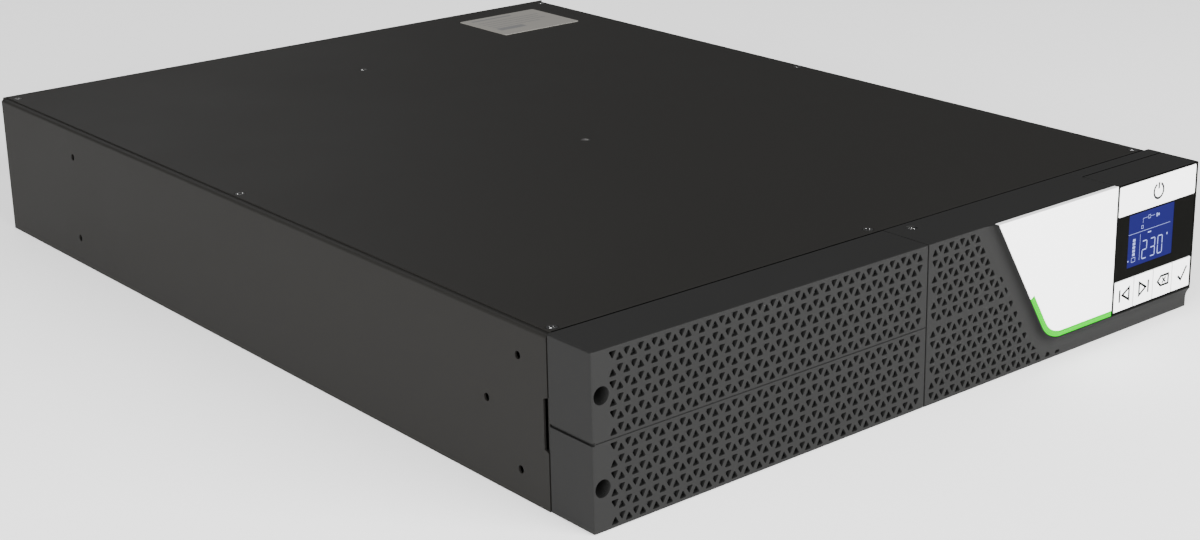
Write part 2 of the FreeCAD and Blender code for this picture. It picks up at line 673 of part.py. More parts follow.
def transformer_core():
    """Ferrite core: two outer legs, a centre leg and the yokes that join them."""
    z0 = BOARD_TOP + 4.0
    block = box(30.0, 110.0, -190.0, -120.0, z0, z0 + 56.0)
    windows = [box(29.0, 111.0, y, y + 16.0, z0 + 12.0, z0 + 44.0) for y in (-176.0, -134.0)]
    return carve(block, windows)


def transformer_winding():
    """Coil and bobbin round the centre leg, standing on the board."""
    z0 = BOARD_TOP + 4.0
    sides = [box(24.0, 116.0, y, y + 15.4, z0 + 12.3, z0 + 43.7) for y in (-175.7, -133.7)]
    ends = [box(x, x + 5.8, -175.7, -118.3, z0 + 12.3, z0 + 43.7) for x in (24.0, 110.2)]
    return join(sides + ends)


def inductor(x, y):
    """Toroidal choke lying on the board."""
    return Part.makeTorus(18.0, 8.0, Vector(x, y, BOARD_TOP + 8.0))


def capacitor(x, y):
    can = rod_z(x, y, BOARD_TOP, BOARD_TOP + 50.0, 15.0)
    groove = rod_z(x, y, BOARD_TOP + 3.0, BOARD_TOP + 4.5, 16.0).cut(
        rod_z(x, y, BOARD_TOP + 2.0, BOARD_TOP + 5.5, 14.3))
    return can.cut(groove)


def relays():
    return [box(40.0 + n * 34.0, 69.0 + n * 34.0, 208.0, 221.0, BOARD_TOP, BOARD_TOP + 25.0)
            for n in range(4)]


def control_board():
    """Logic board standing on its edge beside the divider."""
    return box(24.0, 25.6, -80.0, 120.0, BOARD_TOP, BOARD_TOP + 66.0)


def control_parts():
    """Processor, driver chips and header on the logic board."""
    spots = ((-50.0, 40.0, 20.0), (0.0, 44.0, 14.0), (40.0, 30.0, 14.0), (84.0, 40.0, 24.0))
    return [box(25.6, 28.2, y, y + long, z, z + 14.0) for y, z, long in spots]


def lead(points, radius, bend):
    """Insulated lead along square turns, each rounded to the same bend."""
    places = [Vector(*point) for point in points]
    edges = []
    start = places[0]
    for before, corner, after in zip(places, places[1:], places[2:]):
        entry = corner + (before - corner).normalize() * bend
        leave = corner + (after - corner).normalize() * bend
        centre = entry + leave - corner
        middle = centre + (corner - centre).normalize() * bend
        edges.append(Part.makeLine(start, entry))
        edges.append(Part.Arc(entry, middle, leave).toShape())
        start = leave
    edges.append(Part.makeLine(start, places[-1]))
    section = Part.Wire(Part.makeCircle(radius, places[0], places[1] - places[0]))
    return Part.Wire(edges).makePipeShell([section], True, True)


def wiring_loom():
    """Leads from the mains inlet and from the battery socket, through the divider to the board."""
    leads = []
    tails = [INLET_CENTRE[0] + dx for dx in INLET_BLADES]
    for n, x in enumerate(tails):
        y = Y_REAR - 32.0
        turn = y - 22.0 + 6.0 * n
        z = INLET_CENTRE[1] - 6.0
        leads.append(lead([(x, y, z), (x, turn, z), (30.0, turn, z), (30.0, turn, BOARD_TOP)], 1.5, 5.0))
    for n, x in enumerate((-48.0, -64.0)):
        y = BAY_BACK + 14.0
        turn = y + 6.5 + 5.5 * n
        reach = 32.0 - 10.0 * n
        leads.append(lead([(x, y, 30.0), (x, turn, 30.0), (reach, turn, 30.0), (reach, turn, BOARD_TOP)],
                          2.2, 6.0))
    return leads


# ---------------------------------------------------------------- fans
ROTOR_HUB = 17.0
BLADE_TIP = 36.8
ROTOR_FRONT = Y_REAR_INNER - FAN_DEPTH + 2.0
ROTOR_BACK = Y_REAR_INNER - 5.2


def fan_frame(x):
    """Square frame with a round duct, corner holes and a motor mount on four ribs."""
    y0, y1 = Y_REAR_INNER - FAN_DEPTH, Y_REAR_INNER
    frame = block_y((x, FAN_Z), FAN_SIZE, FAN_SIZE, y0, y1)
    waist = block_y((x, FAN_Z), FAN_SIZE + 2, FAN_SIZE + 2, y0 + 4.0, y1 - 4.0)
    waist = waist.cut(rod_y(x, FAN_Z, y0, y1, 39.9))
    corners = [(x + sx * 35.75, FAN_Z + sz * 35.75) for sx in (-1, 1) for sz in (-1, 1)]
    holes = [rod_y(cx, cz, y0 - 1, y1 + 1, 2.2) for cx, cz in corners]
    frame = carve(frame, [waist.common(block_y((x, FAN_Z), 86, 86, y0 + 4.0, y1 - 4.0))])
    frame = carve(frame, [rod_y(x, FAN_Z, y0 - 1, y1 + 1, FAN_BORE)] + holes)
    mount = rod_y(x, FAN_Z, y1 - 4.0, y1 - 0.6, ROTOR_HUB)
    ribs = []
    for turn in (45, 135, 225, 315):
        rib = box(ROTOR_HUB - 1, FAN_BORE + 0.8, y1 - 3.6, y1 - 0.8, -1.6, 1.6)
        rib.rotate(Vector(0, 0, 0), Vector(0, 1, 0), turn)
        rib.translate(Vector(x, 0, FAN_Z))
        ribs.append(rib)
    return join([frame, mount] + ribs)


def fan_rotor(x):
    """Hub with seven pitched blades."""
    hub = rod_y(x, FAN_Z, ROTOR_FRONT, ROTOR_BACK, ROTOR_HUB)
    length = ROTOR_BACK - ROTOR_FRONT
    middle = (ROTOR_FRONT + ROTOR_BACK) / 2
    tube = rod_y(x, FAN_Z, ROTOR_FRONT + 0.5, ROTOR_BACK - 0.5, BLADE_TIP)
    blades = []
    for n in range(7):
        blade = Part.makeBox(BLADE_TIP + 4 - ROTOR_HUB + 2, length + 12, 1.4,
                             Vector(ROTOR_HUB - 2, -(length + 12) / 2, -0.7))
        blade.rotate(Vector(0, 0, 0), Vector(1, 0, 0), 48)
        blade.rotate(Vector(0, 0, 0), Vector(0, 1, 0), n * 360 / 7)
        blade.translate(Vector(x, middle, FAN_Z))
        blades.append(blade.common(tube))
    return join([hub] + blades)


def fan_guard(x):
    """Wire guard: rings on four straight wires that end in flat eyes."""
    y = Y_REAR + 1.7
    rings = [Part.makeTorus(radius, 0.8, Vector(x, y, FAN_Z), Vector(0, 1, 0))
             for radius in (9.0, 17.0, 25.0, 33.0)]
    spokes = []
    for sx in (-1, 1):
        for sz in (-1, 1):
            corner = Vector(x + sx * 35.75, y, FAN_Z + sz * 35.75)
            inner = Vector(x + sx * 5.0, y, FAN_Z + sz * 5.0)
            run = corner - inner
            spokes.append(Part.makeCylinder(0.8, run.Length - 3.8, inner, run))
            spokes.append(rod_y(corner.x, corner.z, Y_REAR, Y_REAR + 1.6, 4.6))
    guard = join(rings + spokes)
    holes = [rod_y(x + sx * 35.75, FAN_Z + sz * 35.75, Y_REAR - 1, Y_REAR + 4, 2.2)
             for sx in (-1, 1) for sz in (-1, 1)]
    return carve(guard, holes)


def fan_screws():
    screws = []
    for x in FAN_X.values():
        for sx in (-1, 1):
            for sz in (-1, 1):
                centre = (x + sx * 35.75, FAN_Z + sz * 35.75)
                shank = rod_y(*centre, Y_REAR - 14.0, Y_REAR + 1.8, 2.0)
                head = rod_y(*centre, Y_REAR + 1.6, Y_REAR + REAR_PROJECTION, 3.4)
                screws.append(join([shank, head]))
    return screws


# ---------------------------------------------------------------- rear panel and sockets
OUTLET_FLANGE = (32.0, 27.0)
OUTLET_BARREL = (28.0, 22.0)


def shouldered(centre, width, height, cut):
    """Rectangle with its two upper corners cut off, as on mains sockets."""
    x, z = centre
    left, right = x - width / 2, x + width / 2
    low, high = z - height / 2, z + height / 2
    return [(left, low), (right, low), (right, high - cut), (right - cut, high),
            (left + cut, high), (left, high - cut)]


def outlet_centres():
    return [(x, z) for z in OUTLET_ROWS for x in OUTLET_COLUMNS]


def outlet_housing(centre):
    """Flanged sleeve that a mains plug's collar goes into."""
    flange = block_y(centre, *OUTLET_FLANGE, Y_REAR, Y_REAR + 1.6)
    barrel = block_y(centre, *OUTLET_BARREL, Y_REAR - 20.0, Y_REAR + 0.2)
    recess = prism_y(shouldered(centre, 25.0, 17.6, 4.0), Y_REAR - 17.0, Y_REAR + 3)
    return join([flange, barrel]).cut(recess)


def outlet_core(centre):
    """Insulating core with slots for the three pins."""
    x, z = centre
    core = prism_y(shouldered(centre, 20.0, 12.6, 3.0), Y_REAR - 17.0, Y_REAR + 0.6)
    slots = [box(x + dx - 1.3, x + dx + 1.3, Y_REAR - 15.0, Y_REAR + 2, z + dz - 2.4, z + dz + 2.4)
             for dx, dz in ((-6.2, -2.6), (0.0, 2.6), (6.2, -2.6))]
    return carve(core, slots)


def mains_inlet():
    """Recessed mains inlet with a screwed flange."""
    flange = block_y(INLET_CENTRE, 50.0, 31.0, Y_REAR, Y_REAR + 2.0)
    barrel = block_y(INLET_CENTRE, 34.0, 27.0, Y_REAR - 26.0, Y_REAR + 0.2)
    recess = prism_y(shouldered(INLET_CENTRE, 29.6, 23.0, 4.0), Y_REAR - 18.0, Y_REAR + 3)
    x, z = INLET_CENTRE
    holes = [rod_y(x + dx, z, Y_REAR - 1, Y_REAR + 3, 1.8) for dx in (-20.0, 20.0)]
    return carve(join([flange, barrel]), [recess] + holes + inlet_blades(0.05))


def inlet_blades(margin):
    """Line, earth and neutral blades, grown by margin, with tails behind the inlet."""
    x, z = INLET_CENTRE
    half_wide, half_tall = 1.0 + margin, 4.0 + margin
    return [box(x + dx - half_wide, x + dx + half_wide, Y_REAR - 32.0, Y_REAR - 2.0,
                z - 6.0 - half_tall, z - 6.0 + half_tall) for dx in INLET_BLADES]


def circuit_breaker():
    """Thermal breaker with a threaded neck and ring nut through the panel."""
    body = block_y(BREAKER_CENTRE, 15.0, 28.0, Y_REAR - 36.0, Y_REAR_INNER)
    neck = rod_y(*BREAKER_CENTRE, Y_REAR_INNER - 1.0, Y_REAR + 2.2, 5.6)
    nut = rod_y(*BREAKER_CENTRE, Y_REAR, Y_REAR + 1.8, 7.8)
    well = rod_y(*BREAKER_CENTRE, Y_REAR - 10.0, Y_REAR + 4, 3.8)
    return carve(join([body, neck, nut]), [well])


def breaker_button():
    """Button that springs out when the breaker trips and is pushed back by hand."""
    stem = rod_y(*BREAKER_CENTRE, Y_REAR - 9.6, Y_REAR + REAR_PROJECTION, 3.4)
    tip = [edge for edge in stem.Edges if abs(edge.CenterOfMass.y - Y_REAR - REAR_PROJECTION) < 0.01]
    return stem.makeFillet(0.4, tip)


def slot_cover():
    """Blank plate over the slot for a network card, with a hole at each end."""
    x0, x1, z0, z1 = SLOT_COVER
    plate = box(x0, x1, Y_REAR, Y_REAR + 1.0, z0, z1)
    middle = (z0 + z1) / 2
    return carve(plate, [rod_y(x, middle, Y_REAR - 1, Y_REAR + 2, 1.8) for x in (x0 + 5, x1 - 5)])


def slot_cover_screws():
    x0, x1, z0, z1 = SLOT_COVER
    middle = (z0 + z1) / 2
    screws = []
    for x in (x0 + 5, x1 - 5):
        head = rod_y(x, middle, Y_REAR + 1.0, Y_REAR + REAR_PROJECTION, 3.6)
        shank = rod_y(x, middle, Y_REAR - 6.0, Y_REAR + 1.2, 1.5)
        cut = box(x - 5, x + 5, Y_REAR + 1.9, Y_REAR + 4, middle - 0.5, middle + 0.5)
        screws.append(join([head, shank]).cut(cut))
    return screws


def ground_screw():
    head = rod_y(*GROUND_SCREW, Y_REAR + 0.8, Y_REAR + REAR_PROJECTION, 4.4)
    washer = rod_y(*GROUND_SCREW, Y_REAR, Y_REAR + 0.8, 5.6)
    shank = rod_y(*GROUND_SCREW, Y_REAR - 8.0, Y_REAR + 1.0, 2.0)
    x, z = GROUND_SCREW
    arms = [block_y((x, z), 5.0, 0.9, Y_REAR + 1.6, Y_REAR + 4),
            block_y((x, z), 0.9, 5.0, Y_REAR + 1.6, Y_REAR + 4)]
    return carve(join([head, washer, shank]), arms)


def serial_port():
    """Nine-way D-shaped socket with its flange behind the panel."""
    x, z = SERIAL_CENTRE
    flange = block_y(SERIAL_CENTRE, 30.8, 12.4, Y_REAR_INNER - 2.0, Y_REAR_INNER)
    shell = prism_y([(x - 8.6, z + 4.2), (x - 7.2, z - 4.2), (x + 7.2, z - 4.2), (x + 8.6, z + 4.2)],
                    Y_REAR_INNER - 10.0, Y_REAR + 2.4)
    pins = [rod_y(x - 5.5 + 2.75 * n, z + 1.4, Y_REAR, Y_REAR + 4, 0.6) for n in range(5)]
    pins += [rod_y(x - 4.1 + 2.75 * n, z - 1.4, Y_REAR, Y_REAR + 4, 0.6) for n in range(4)]
    return carve(join([flange, shell]), pins)


def usb_port():
    """Square data socket with a tongue in the middle."""
    shell = block_y(USB_CENTRE, 12.0, 11.0, Y_REAR - 16.0, Y_REAR + 0.6)
    mouth = block_y(USB_CENTRE, 9.0, 8.0, Y_REAR - 10.0, Y_REAR + 2)
    tongue = block_y(USB_CENTRE, 5.6, 3.2, Y_REAR - 11.0, Y_REAR - 1.0)
    return join([shell.cut(mouth), tongue])


def stop_connector():
    """Two-way terminal socket for a remote emergency stop."""
    block = block_y(STOP_CENTRE, 12.0, 9.0, Y_REAR - 12.0, Y_REAR + 1.4)
    x, z = STOP_CENTRE
    mouths = [block_y((x + dx, z), 3.4, 5.0, Y_REAR - 7.0, Y_REAR + 2) for dx in (-2.6, 2.6)]
    return carve(block, mouths)


def network_port(centre):
    """Jack for a network or surge-protected telephone lead."""
    shell = block_y(centre, 15.6, 13.4, Y_REAR - 18.0, Y_REAR + 0.6)
    x, z = centre
    mouth = [(x - 5.9, z - 3.0), (x - 3.1, z - 3.0), (x - 3.1, z - 5.2), (x + 3.1, z - 5.2),
             (x + 3.1, z - 3.0), (x + 5.9, z - 3.0), (x + 5.9, z + 4.2), (x - 5.9, z + 4.2)]
    return shell.cut(prism_y(mouth, Y_REAR - 14.0, Y_REAR + 2))


PANEL_SCREWS = [(x, z) for x in (-215.4, 215.4) for z in (5.5, 80.5)]


def rear_panel():
    """Rear plate with side flanges, cut out for the fans and sockets."""
    low, high = SHEET, COVER_TOP
    plate = box(-INNER, INNER, Y_REAR_INNER, Y_REAR, low, high)
    wings = [box(-INNER, -INNER + SHEET, Y_REAR - 10.0, Y_REAR, low, CEILING - GAP),
             box(INNER - SHEET, INNER, Y_REAR - 10.0, Y_REAR, low, CEILING - GAP)]
    y0, y1 = Y_REAR - 3, Y_REAR + 3
    cuts = [rod_y(x, FAN_Z, y0, y1, FAN_BORE) for x in FAN_X.values()]
    for x in FAN_X.values():
        cuts += [rod_y(x + sx * 35.75, FAN_Z + sz * 35.75, y0, y1, 2.2)
                 for sx in (-1, 1) for sz in (-1, 1)]
    cuts += [block_y(centre, 28.2, 22.2, y0, y1) for centre in outlet_centres()]
    cuts.append(block_y(INLET_CENTRE, 34.2, 27.2, y0, y1))
    cuts += [rod_y(INLET_CENTRE[0] + dx, INLET_CENTRE[1], y0, y1, 1.6) for dx in (-20.0, 20.0)]
    cuts.append(rod_y(*BREAKER_CENTRE, y0, y1, 5.9))
    cuts.append(rod_y(*GROUND_SCREW, y0, y1, 2.1))
    cuts.append(block_y(SERIAL_CENTRE, 18.4, 9.6, y0, y1))
    cuts.append(block_y(USB_CENTRE, 12.2, 11.2, y0, y1))
    cuts.append(block_y(STOP_CENTRE, 12.2, 9.2, y0, y1))
    cuts += [block_y(centre, 15.8, 13.6, y0, y1) for centre in NETWORK_CENTRES]
    x0, x1, z0, z1 = SLOT_COVER
    cuts.append(box(x0 + 10, x1 - 10, y0, y1, z0 + 3, z1 - 3))
    cuts += [rod_y(x, (z0 + z1) / 2, y0, y1, 1.6) for x in (x0 + 5, x1 - 5)]
    cuts += [rod_y(x, z, y0, y1, 1.6) for x, z in PANEL_SCREWS]
    return carve(join([plate] + wings), cuts)


def panel_screws():
    """Screws of the rear panel and of the inlet's flange."""
    spots = [(x, z, 0.0) for x, z in PANEL_SCREWS]
    spots += [(INLET_CENTRE[0] + dx, INLET_CENTRE[1], 2.0) for dx in (-20.0, 20.0)]
    screws = []
    for x, z, lift in spots:
        head = rod_y(x, z, Y_REAR + lift, Y_REAR + max(lift + 0.6, 1.6), 2.8)
        shank = rod_y(x, z, Y_REAR - 6.0, Y_REAR + lift + 0.3, 1.5)
        screws.append(join([head, shank]))
    return screws


# ---------------------------------------------------------------- write every node
def main():
    os.makedirs("parts", exist_ok=True)
    nodes = {
        "chassis_tray": chassis_tray,
        "centre_divider": centre_divider,
        "front_plate": front_plate,
        "bay_rear_wall": bay_rear_wall,
        "top_cover": top_cover,
        "cover_screws": lambda: [cover_screw(x, y) for x, y in COVER_SCREWS]
        + [cover_screw(*BEZEL_SCREW, BEZEL_HEIGHT)],
        "rating_label": rating_label,
        "rear_panel": rear_panel,
        "rear_screws": lambda: panel_screws() + fan_screws() + slot_cover_screws() + [ground_screw()],
        "battery_door": battery_door,
        "door_filter": door_filter,
        "door_screws": lambda: [door_screw(x, z) for x, z in DOOR_SCREWS],
        "display_bezel": display_bezel,
        "bezel_filter": bezel_filter,
        "trim_plate": trim_plate,
        "trim_strip": trim_strip,
        "display_housing": display_housing,
        "display_lens": display_lens,
        "lcd_panel": lcd_panel,
        "display_board": display_board,
        "board_switches": lambda: key_switches() + [display_socket()],
        "power_button": power_button,
        "battery_tray": battery_tray,
        "battery_blocks": battery_blocks,
        "battery_terminals": battery_terminals,
        "battery_links": battery_links,
        "battery_strap": battery_strap,
        "battery_plug": battery_plug,
        "battery_socket": battery_socket,
        "main_board": main_board,
        "board_standoffs": lambda: [board_standoff(x, y) for x, y in STANDOFFS],
        "heat_sinks": lambda: [heat_sink(x) for x in SINK_X],
        "power_transistors": power_transistors,
        "transformer_core": transformer_core,
        "transformer_winding": transformer_winding,
        "inductors": lambda: [inductor(160.0, y) for y in (-180.0, -120.0)],
        "bus_capacitors": lambda: [capacitor(184.0, -60.0 + 36.0 * n) for n in range(6)],
        "relays": relays,
        "control_board": control_board,
        "control_parts": control_parts,
        "wiring_loom": wiring_loom,
        "fan_guards": lambda: [fan_guard(x) for x in FAN_X.values()],
        "outlet_housings": lambda: [outlet_housing(centre) for centre in outlet_centres()],
        "outlet_cores": lambda: [outlet_core(centre) for centre in outlet_centres()],
        "mains_inlet": mains_inlet,
        "inlet_pins": lambda: inlet_blades(0),
        "circuit_breaker": circuit_breaker,
        "breaker_button": breaker_button,
        "slot_cover": slot_cover,
        "data_ports": lambda: [serial_port(), usb_port()],
        "stop_connector": stop_connector,
        "network_ports": lambda: [network_port(centre) for centre in NETWORK_CENTRES],
    }
    for node, make in nodes.items():
        save(node, make())
    for index, node in enumerate(KEYS):
        save(node, key(index))
    for side, x in FAN_X.items():
        save("fan_frame_" + side, fan_frame(x))
        save("fan_rotor_" + side, fan_rotor(x))


main()
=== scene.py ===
"""Looks of a two-unit rack or tower power supply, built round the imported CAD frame."""
import json
import math

import bmesh
import bpy
from mathutils import Matrix, Vector, geometry


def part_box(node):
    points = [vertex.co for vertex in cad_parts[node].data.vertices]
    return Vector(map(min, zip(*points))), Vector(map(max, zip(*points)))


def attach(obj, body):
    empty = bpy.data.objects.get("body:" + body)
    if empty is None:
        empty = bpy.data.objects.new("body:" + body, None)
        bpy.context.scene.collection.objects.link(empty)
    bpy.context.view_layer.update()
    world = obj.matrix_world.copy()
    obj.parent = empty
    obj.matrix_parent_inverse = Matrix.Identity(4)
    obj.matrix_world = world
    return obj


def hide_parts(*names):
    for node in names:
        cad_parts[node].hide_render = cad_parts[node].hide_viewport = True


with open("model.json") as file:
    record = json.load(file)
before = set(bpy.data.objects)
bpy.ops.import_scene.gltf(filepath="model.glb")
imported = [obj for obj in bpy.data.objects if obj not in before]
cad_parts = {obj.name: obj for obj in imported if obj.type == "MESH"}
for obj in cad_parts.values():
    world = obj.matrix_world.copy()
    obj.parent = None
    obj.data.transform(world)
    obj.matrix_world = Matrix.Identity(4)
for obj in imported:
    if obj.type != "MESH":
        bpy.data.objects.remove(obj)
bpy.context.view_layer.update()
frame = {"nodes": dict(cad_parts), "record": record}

MM = 0.001

# ------------------------------ materials
NOISE_LOW, NOISE_HIGH = 0.3, 0.7  # what most of the noise lies between
DRIFT_SCALE = 9.0  # slow changes per metre
GRAIN_SHARE = 0.35  # of the tone; the slow drift makes the rest
GLOSS_SPREAD = 0.04


def shade_noise(nodes, links, coords, scale, detail, stretch):
    """Noise in the object's own metres, so that the grain keeps its real size."""
    mapping = nodes.new("ShaderNodeMapping")
    mapping.inputs["Scale"].default_value = stretch
    links.new(coords, mapping.inputs["Vector"])
    noise = nodes.new("ShaderNodeTexNoise")
    noise.inputs["Scale"].default_value = scale
    noise.inputs["Detail"].default_value = detail
    links.new(mapping.outputs["Vector"], noise.inputs["Vector"])
    return noise.outputs["Fac"]


def blend_colours(nodes, links, factor, dark, light):
    """Colour between dark and light, as the noise goes through its usual range."""
    ramp = nodes.new("ShaderNodeValToRGB")
    ramp.color_ramp.elements[0].position = NOISE_LOW
    ramp.color_ramp.elements[0].color = (*dark, 1)
    ramp.color_ramp.elements[1].position = NOISE_HIGH
    ramp.color_ramp.elements[1].color = (*light, 1)
    links.new(factor, ramp.inputs["Fac"])
    return ramp.outputs["Color"]


def spread(nodes, links, factor, low, high):
    """Value between low and high, as the noise goes through its usual range."""
    reach = nodes.new("ShaderNodeMapRange")
    reach.inputs["From Min"].default_value = NOISE_LOW
    reach.inputs["From Max"].default_value = NOISE_HIGH
    reach.inputs["To Min"].default_value = low
    reach.inputs["To Max"].default_value = high
    links.new(factor, reach.inputs["Value"])
    return reach.outputs["Result"]


def finish(name, colour, roughness, grain_mm=0.4, relief_mm=0.02, mottle=0.1, metallic=0.0,
           stretch=(1, 1, 1), edge_mm=0.25, specular=0.5, coat=0.0, glow=None, glow_strength=0.0):
    """Principled material: fine grain in the relief, slow drift in tone and gloss, soft edges."""
    material = bpy.data.materials.new(name)
    material.use_nodes = True
    nodes, links = material.node_tree.nodes, material.node_tree.links
    surface = nodes["Principled BSDF"]
    coords = nodes.new("ShaderNodeTexCoord").outputs["Object"]
    grain = shade_noise(nodes, links, coords, 1 / (grain_mm * MM), 2.0, stretch)
    drift = shade_noise(nodes, links, coords, DRIFT_SCALE, 3.0, (1, 1, 1))
    mixed = nodes.new("ShaderNodeMix")
    mixed.inputs["Factor"].default_value = GRAIN_SHARE
    links.new(drift, mixed.inputs["A"])
    links.new(grain, mixed.inputs["B"])
    tone = mixed.outputs["Result"]
    dark = [c * (1 - mottle) for c in colour]
    light = [min(1.0, c * (1 + mottle)) for c in colour]
    links.new(blend_colours(nodes, links, tone, dark, light), surface.inputs["Base Color"])
    gloss = spread(nodes, links, tone, roughness - GLOSS_SPREAD, min(1.0, roughness + GLOSS_SPREAD))
    links.new(gloss, surface.inputs["Roughness"])
    surface.inputs["Metallic"].default_value = metallic
    surface.inputs["Specular IOR Level"].default_value = specular
    surface.inputs["Coat Weight"].default_value = coat
    bump = nodes.new("ShaderNodeBump")
    bump.inputs["Strength"].default_value = 1.0
    bump.inputs["Distance"].default_value = relief_mm * MM
    links.new(grain, bump.inputs["Height"])
    if edge_mm:
        bevel = nodes.new("ShaderNodeBevel")
        bevel.samples = 4
        bevel.inputs["Radius"].default_value = edge_mm * MM
        links.new(bevel.outputs["Normal"], bump.inputs["Normal"])
    links.new(bump.outputs["Normal"], surface.inputs["Normal"])
    if glow:
        surface.inputs["Emission Color"].default_value = (*glow, 1)
        surface.inputs["Emission Strength"].default_value = glow_strength
    return material


MATERIALS = {
    "black_steel": finish("powder_coat", (0.0107, 0.0103, 0.0095), 0.50, 0.35, 0.035, specular=0.05),
    "zinc_steel": finish("zinc_sheet", (0.15, 0.155, 0.16), 0.38, 0.9, 0.01, 0.12, 1.0),
    "screw_steel": finish("black_zinc", (0.012, 0.012, 0.012), 0.35, 0.25, 0.01, 0.1, specular=0.1),
    "bright_recess": finish("worn_recess", (0.6, 0.6, 0.6), 0.28, 0.2, 0.004, 0.1, 1.0, edge_mm=0),
    "guard_wire": finish("bright_wire", (0.30, 0.30, 0.31), 0.24, 0.3, 0.004, 0.06, 1.0, edge_mm=0),
    "label_paper": finish("label_film", (0.18, 0.172, 0.157), 0.42, 0.2, 0.004, 0.04, edge_mm=0,
                          specular=0.2),
    "bezel_plastic": finish("textured_plastic", (0.0110, 0.0110, 0.0108), 0.52, 0.30, 0.03, 0.08,
                            specular=0.06),
    # the bezel's plastic with painted shade, darker towards the plate, for the band's hollow
    "painted_shade_plastic": finish("band_painted_shade", (0.0110, 0.0110, 0.0108), 0.52, 0.30, 0.03, 0.08,
                             specular=0.06),
    "filter_foam": finish("open_foam", (0.006, 0.006, 0.006), 0.95, 0.8, 0.6, 0.5),
    # near-black strips that fill the seams: painted shadow
    "seam_shadow_black": finish("seam_shadow_black", (0.0015, 0.0015, 0.0015), 0.95, 0.4, 0.05, 0.3, edge_mm=0,
                         specular=0.0),
    "white_plastic": finish("white_plastic", (0.85, 0.85, 0.85), 0.33, 0.3, 0.003, 0.01, coat=0.1),
    "green_light_guide": finish("green_guide", (0.001, 0.15, 0.001), 0.45, 0.4, 0.003, 0.05,
                                specular=0.0, glow=(0.0, 1.0, 0.0), glow_strength=0.7),
    "black_lens": finish("black_lens", (0.0028, 0.0028, 0.0025), 0.09, 1.0, 0.0008, 0.05,
                         specular=0.005),
    "lcd_glass": finish("lcd_blue", (0.001, 0.001, 0.008), 0.3, 0.2, 0.001, 0.06, specular=0.02,
                        glow=(0.012, 0.010, 0.19), glow_strength=1.0, edge_mm=0),
    "circuit_board": finish("solder_mask", (0.007, 0.045, 0.018), 0.35, 0.7, 0.03, 0.25),
    "black_component": finish("moulded_epoxy", (0.009, 0.009, 0.0095), 0.55, 0.2, 0.01, 0.1),
    "socket_plastic": finish("socket_plastic", (0.014, 0.014, 0.0145), 0.42, 0.3, 0.008, 0.1),
    "contact_metal": finish("plated_contact", (0.35, 0.31, 0.21), 0.28, 0.3, 0.004, 0.08, 1.0),
    "connector_shell": finish("nickel_shell", (0.28, 0.28, 0.275), 0.30, 0.5, 0.004, 0.08, 1.0),
    "terminal_green": finish("terminal_green", (0.01, 0.09, 0.03), 0.40, 0.3, 0.008, 0.08),
    "breaker_cap": finish("breaker_cap", (0.015, 0.015, 0.015), 0.35, 0.3, 0.006, 0.08),
    "fan_plastic": finish("fan_plastic", (0.013, 0.013, 0.0135), 0.48, 0.3, 0.01, 0.1),
    "heat_sink_metal": finish("extruded_aluminium", (0.24, 0.245, 0.25), 0.36, 0.3, 0.01, 0.08,
                              1.0, (1, 0.05, 1)),
    "ferrite": finish("ferrite", (0.018, 0.018, 0.019), 0.6, 0.4, 0.02, 0.15),
    "winding_tape": finish("winding_tape", (0.20, 0.15, 0.02), 0.4, 0.8, 0.02, 0.1),
    "copper_coil": finish("enamelled_wire", (0.30, 0.10, 0.035), 0.3, 0.9, 0.12, 0.12, 0.8,
                          (1, 1, 0.2)),
    "capacitor_sleeve": finish("shrink_sleeve", (0.004, 0.006, 0.03), 0.28, 0.6, 0.01, 0.08),
    "lead_insulation": finish("lead_insulation", (0.009, 0.009, 0.009), 0.5, 0.5, 0.01, 0.1),
    "battery_case": finish("battery_case", (0.016, 0.017, 0.018), 0.6, 0.4, 0.02, 0.08,
                           specular=0.12),
    "strap_webbing": finish("webbing", (0.009, 0.009, 0.009), 0.85, 0.9, 0.2, 0.3, 0.0, (1, 0.3, 1)),
    "power_connector": finish("power_connector", (0.14, 0.007, 0.005), 0.42, 0.3, 0.01, 0.08),
    "printed_mark": finish("grey_ink", (0.003, 0.003, 0.003), 0.5, 0.2, 0.002, 0.05, edge_mm=0,
                           specular=0.0),
    "printed_ring": finish("pale_grey_ink", (0.006, 0.006, 0.006), 0.5, 0.2, 0.002, 0.05,
                           edge_mm=0, specular=0.0),
    "label_ink": finish("label_ink", (0.10, 0.10, 0.10), 0.5, 0.2, 0.002, 0.05, edge_mm=0),
    "lit_figures": finish("lit_figures", (0.05, 0.06, 0.1), 0.4, 0.2, 0.001, 0.02, specular=0.05,
                          glow=(0.42, 0.50, 1.2), glow_strength=1.0, edge_mm=0),
}


def darker_forwards(material, start, end, least):
    """Tones a material down from start to end along Y, to least of its own colour: painted shade."""
    nodes, links = material.node_tree.nodes, material.node_tree.links
    colour = nodes["Principled BSDF"].inputs["Base Color"]
    apart = nodes.new("ShaderNodeSeparateXYZ")
    links.new(nodes["Texture Coordinate"].outputs["Object"], apart.inputs["Vector"])
    ramp = nodes.new("ShaderNodeMapRange")
    ramp.inputs["From Min"].default_value = start * MM
    ramp.inputs["From Max"].default_value = end * MM
    ramp.inputs["To Min"].default_value = 1.0
    ramp.inputs["To Max"].default_value = least
    links.new(apart.outputs["Y"], ramp.inputs["Value"])
    toned = nodes.new("ShaderNodeVectorMath")
    toned.operation = "SCALE"
    links.new(colour.links[0].from_socket, toned.inputs["Vector"])
    links.new(ramp.outputs["Result"], toned.inputs["Scale"])
    links.new(toned.outputs["Vector"], colour)


SLOT_OF = {part["node"]: part["material_slot"] for part in frame["record"]["subparts"]}


def dress(node):
    """Gives a CAD node the material of its slot."""
    obj = frame["nodes"][node]
    obj.data.materials.clear()
    obj.data.materials.append(MATERIALS[SLOT_OF[node]])


for node in sorted(frame["nodes"]):
    dress(node)

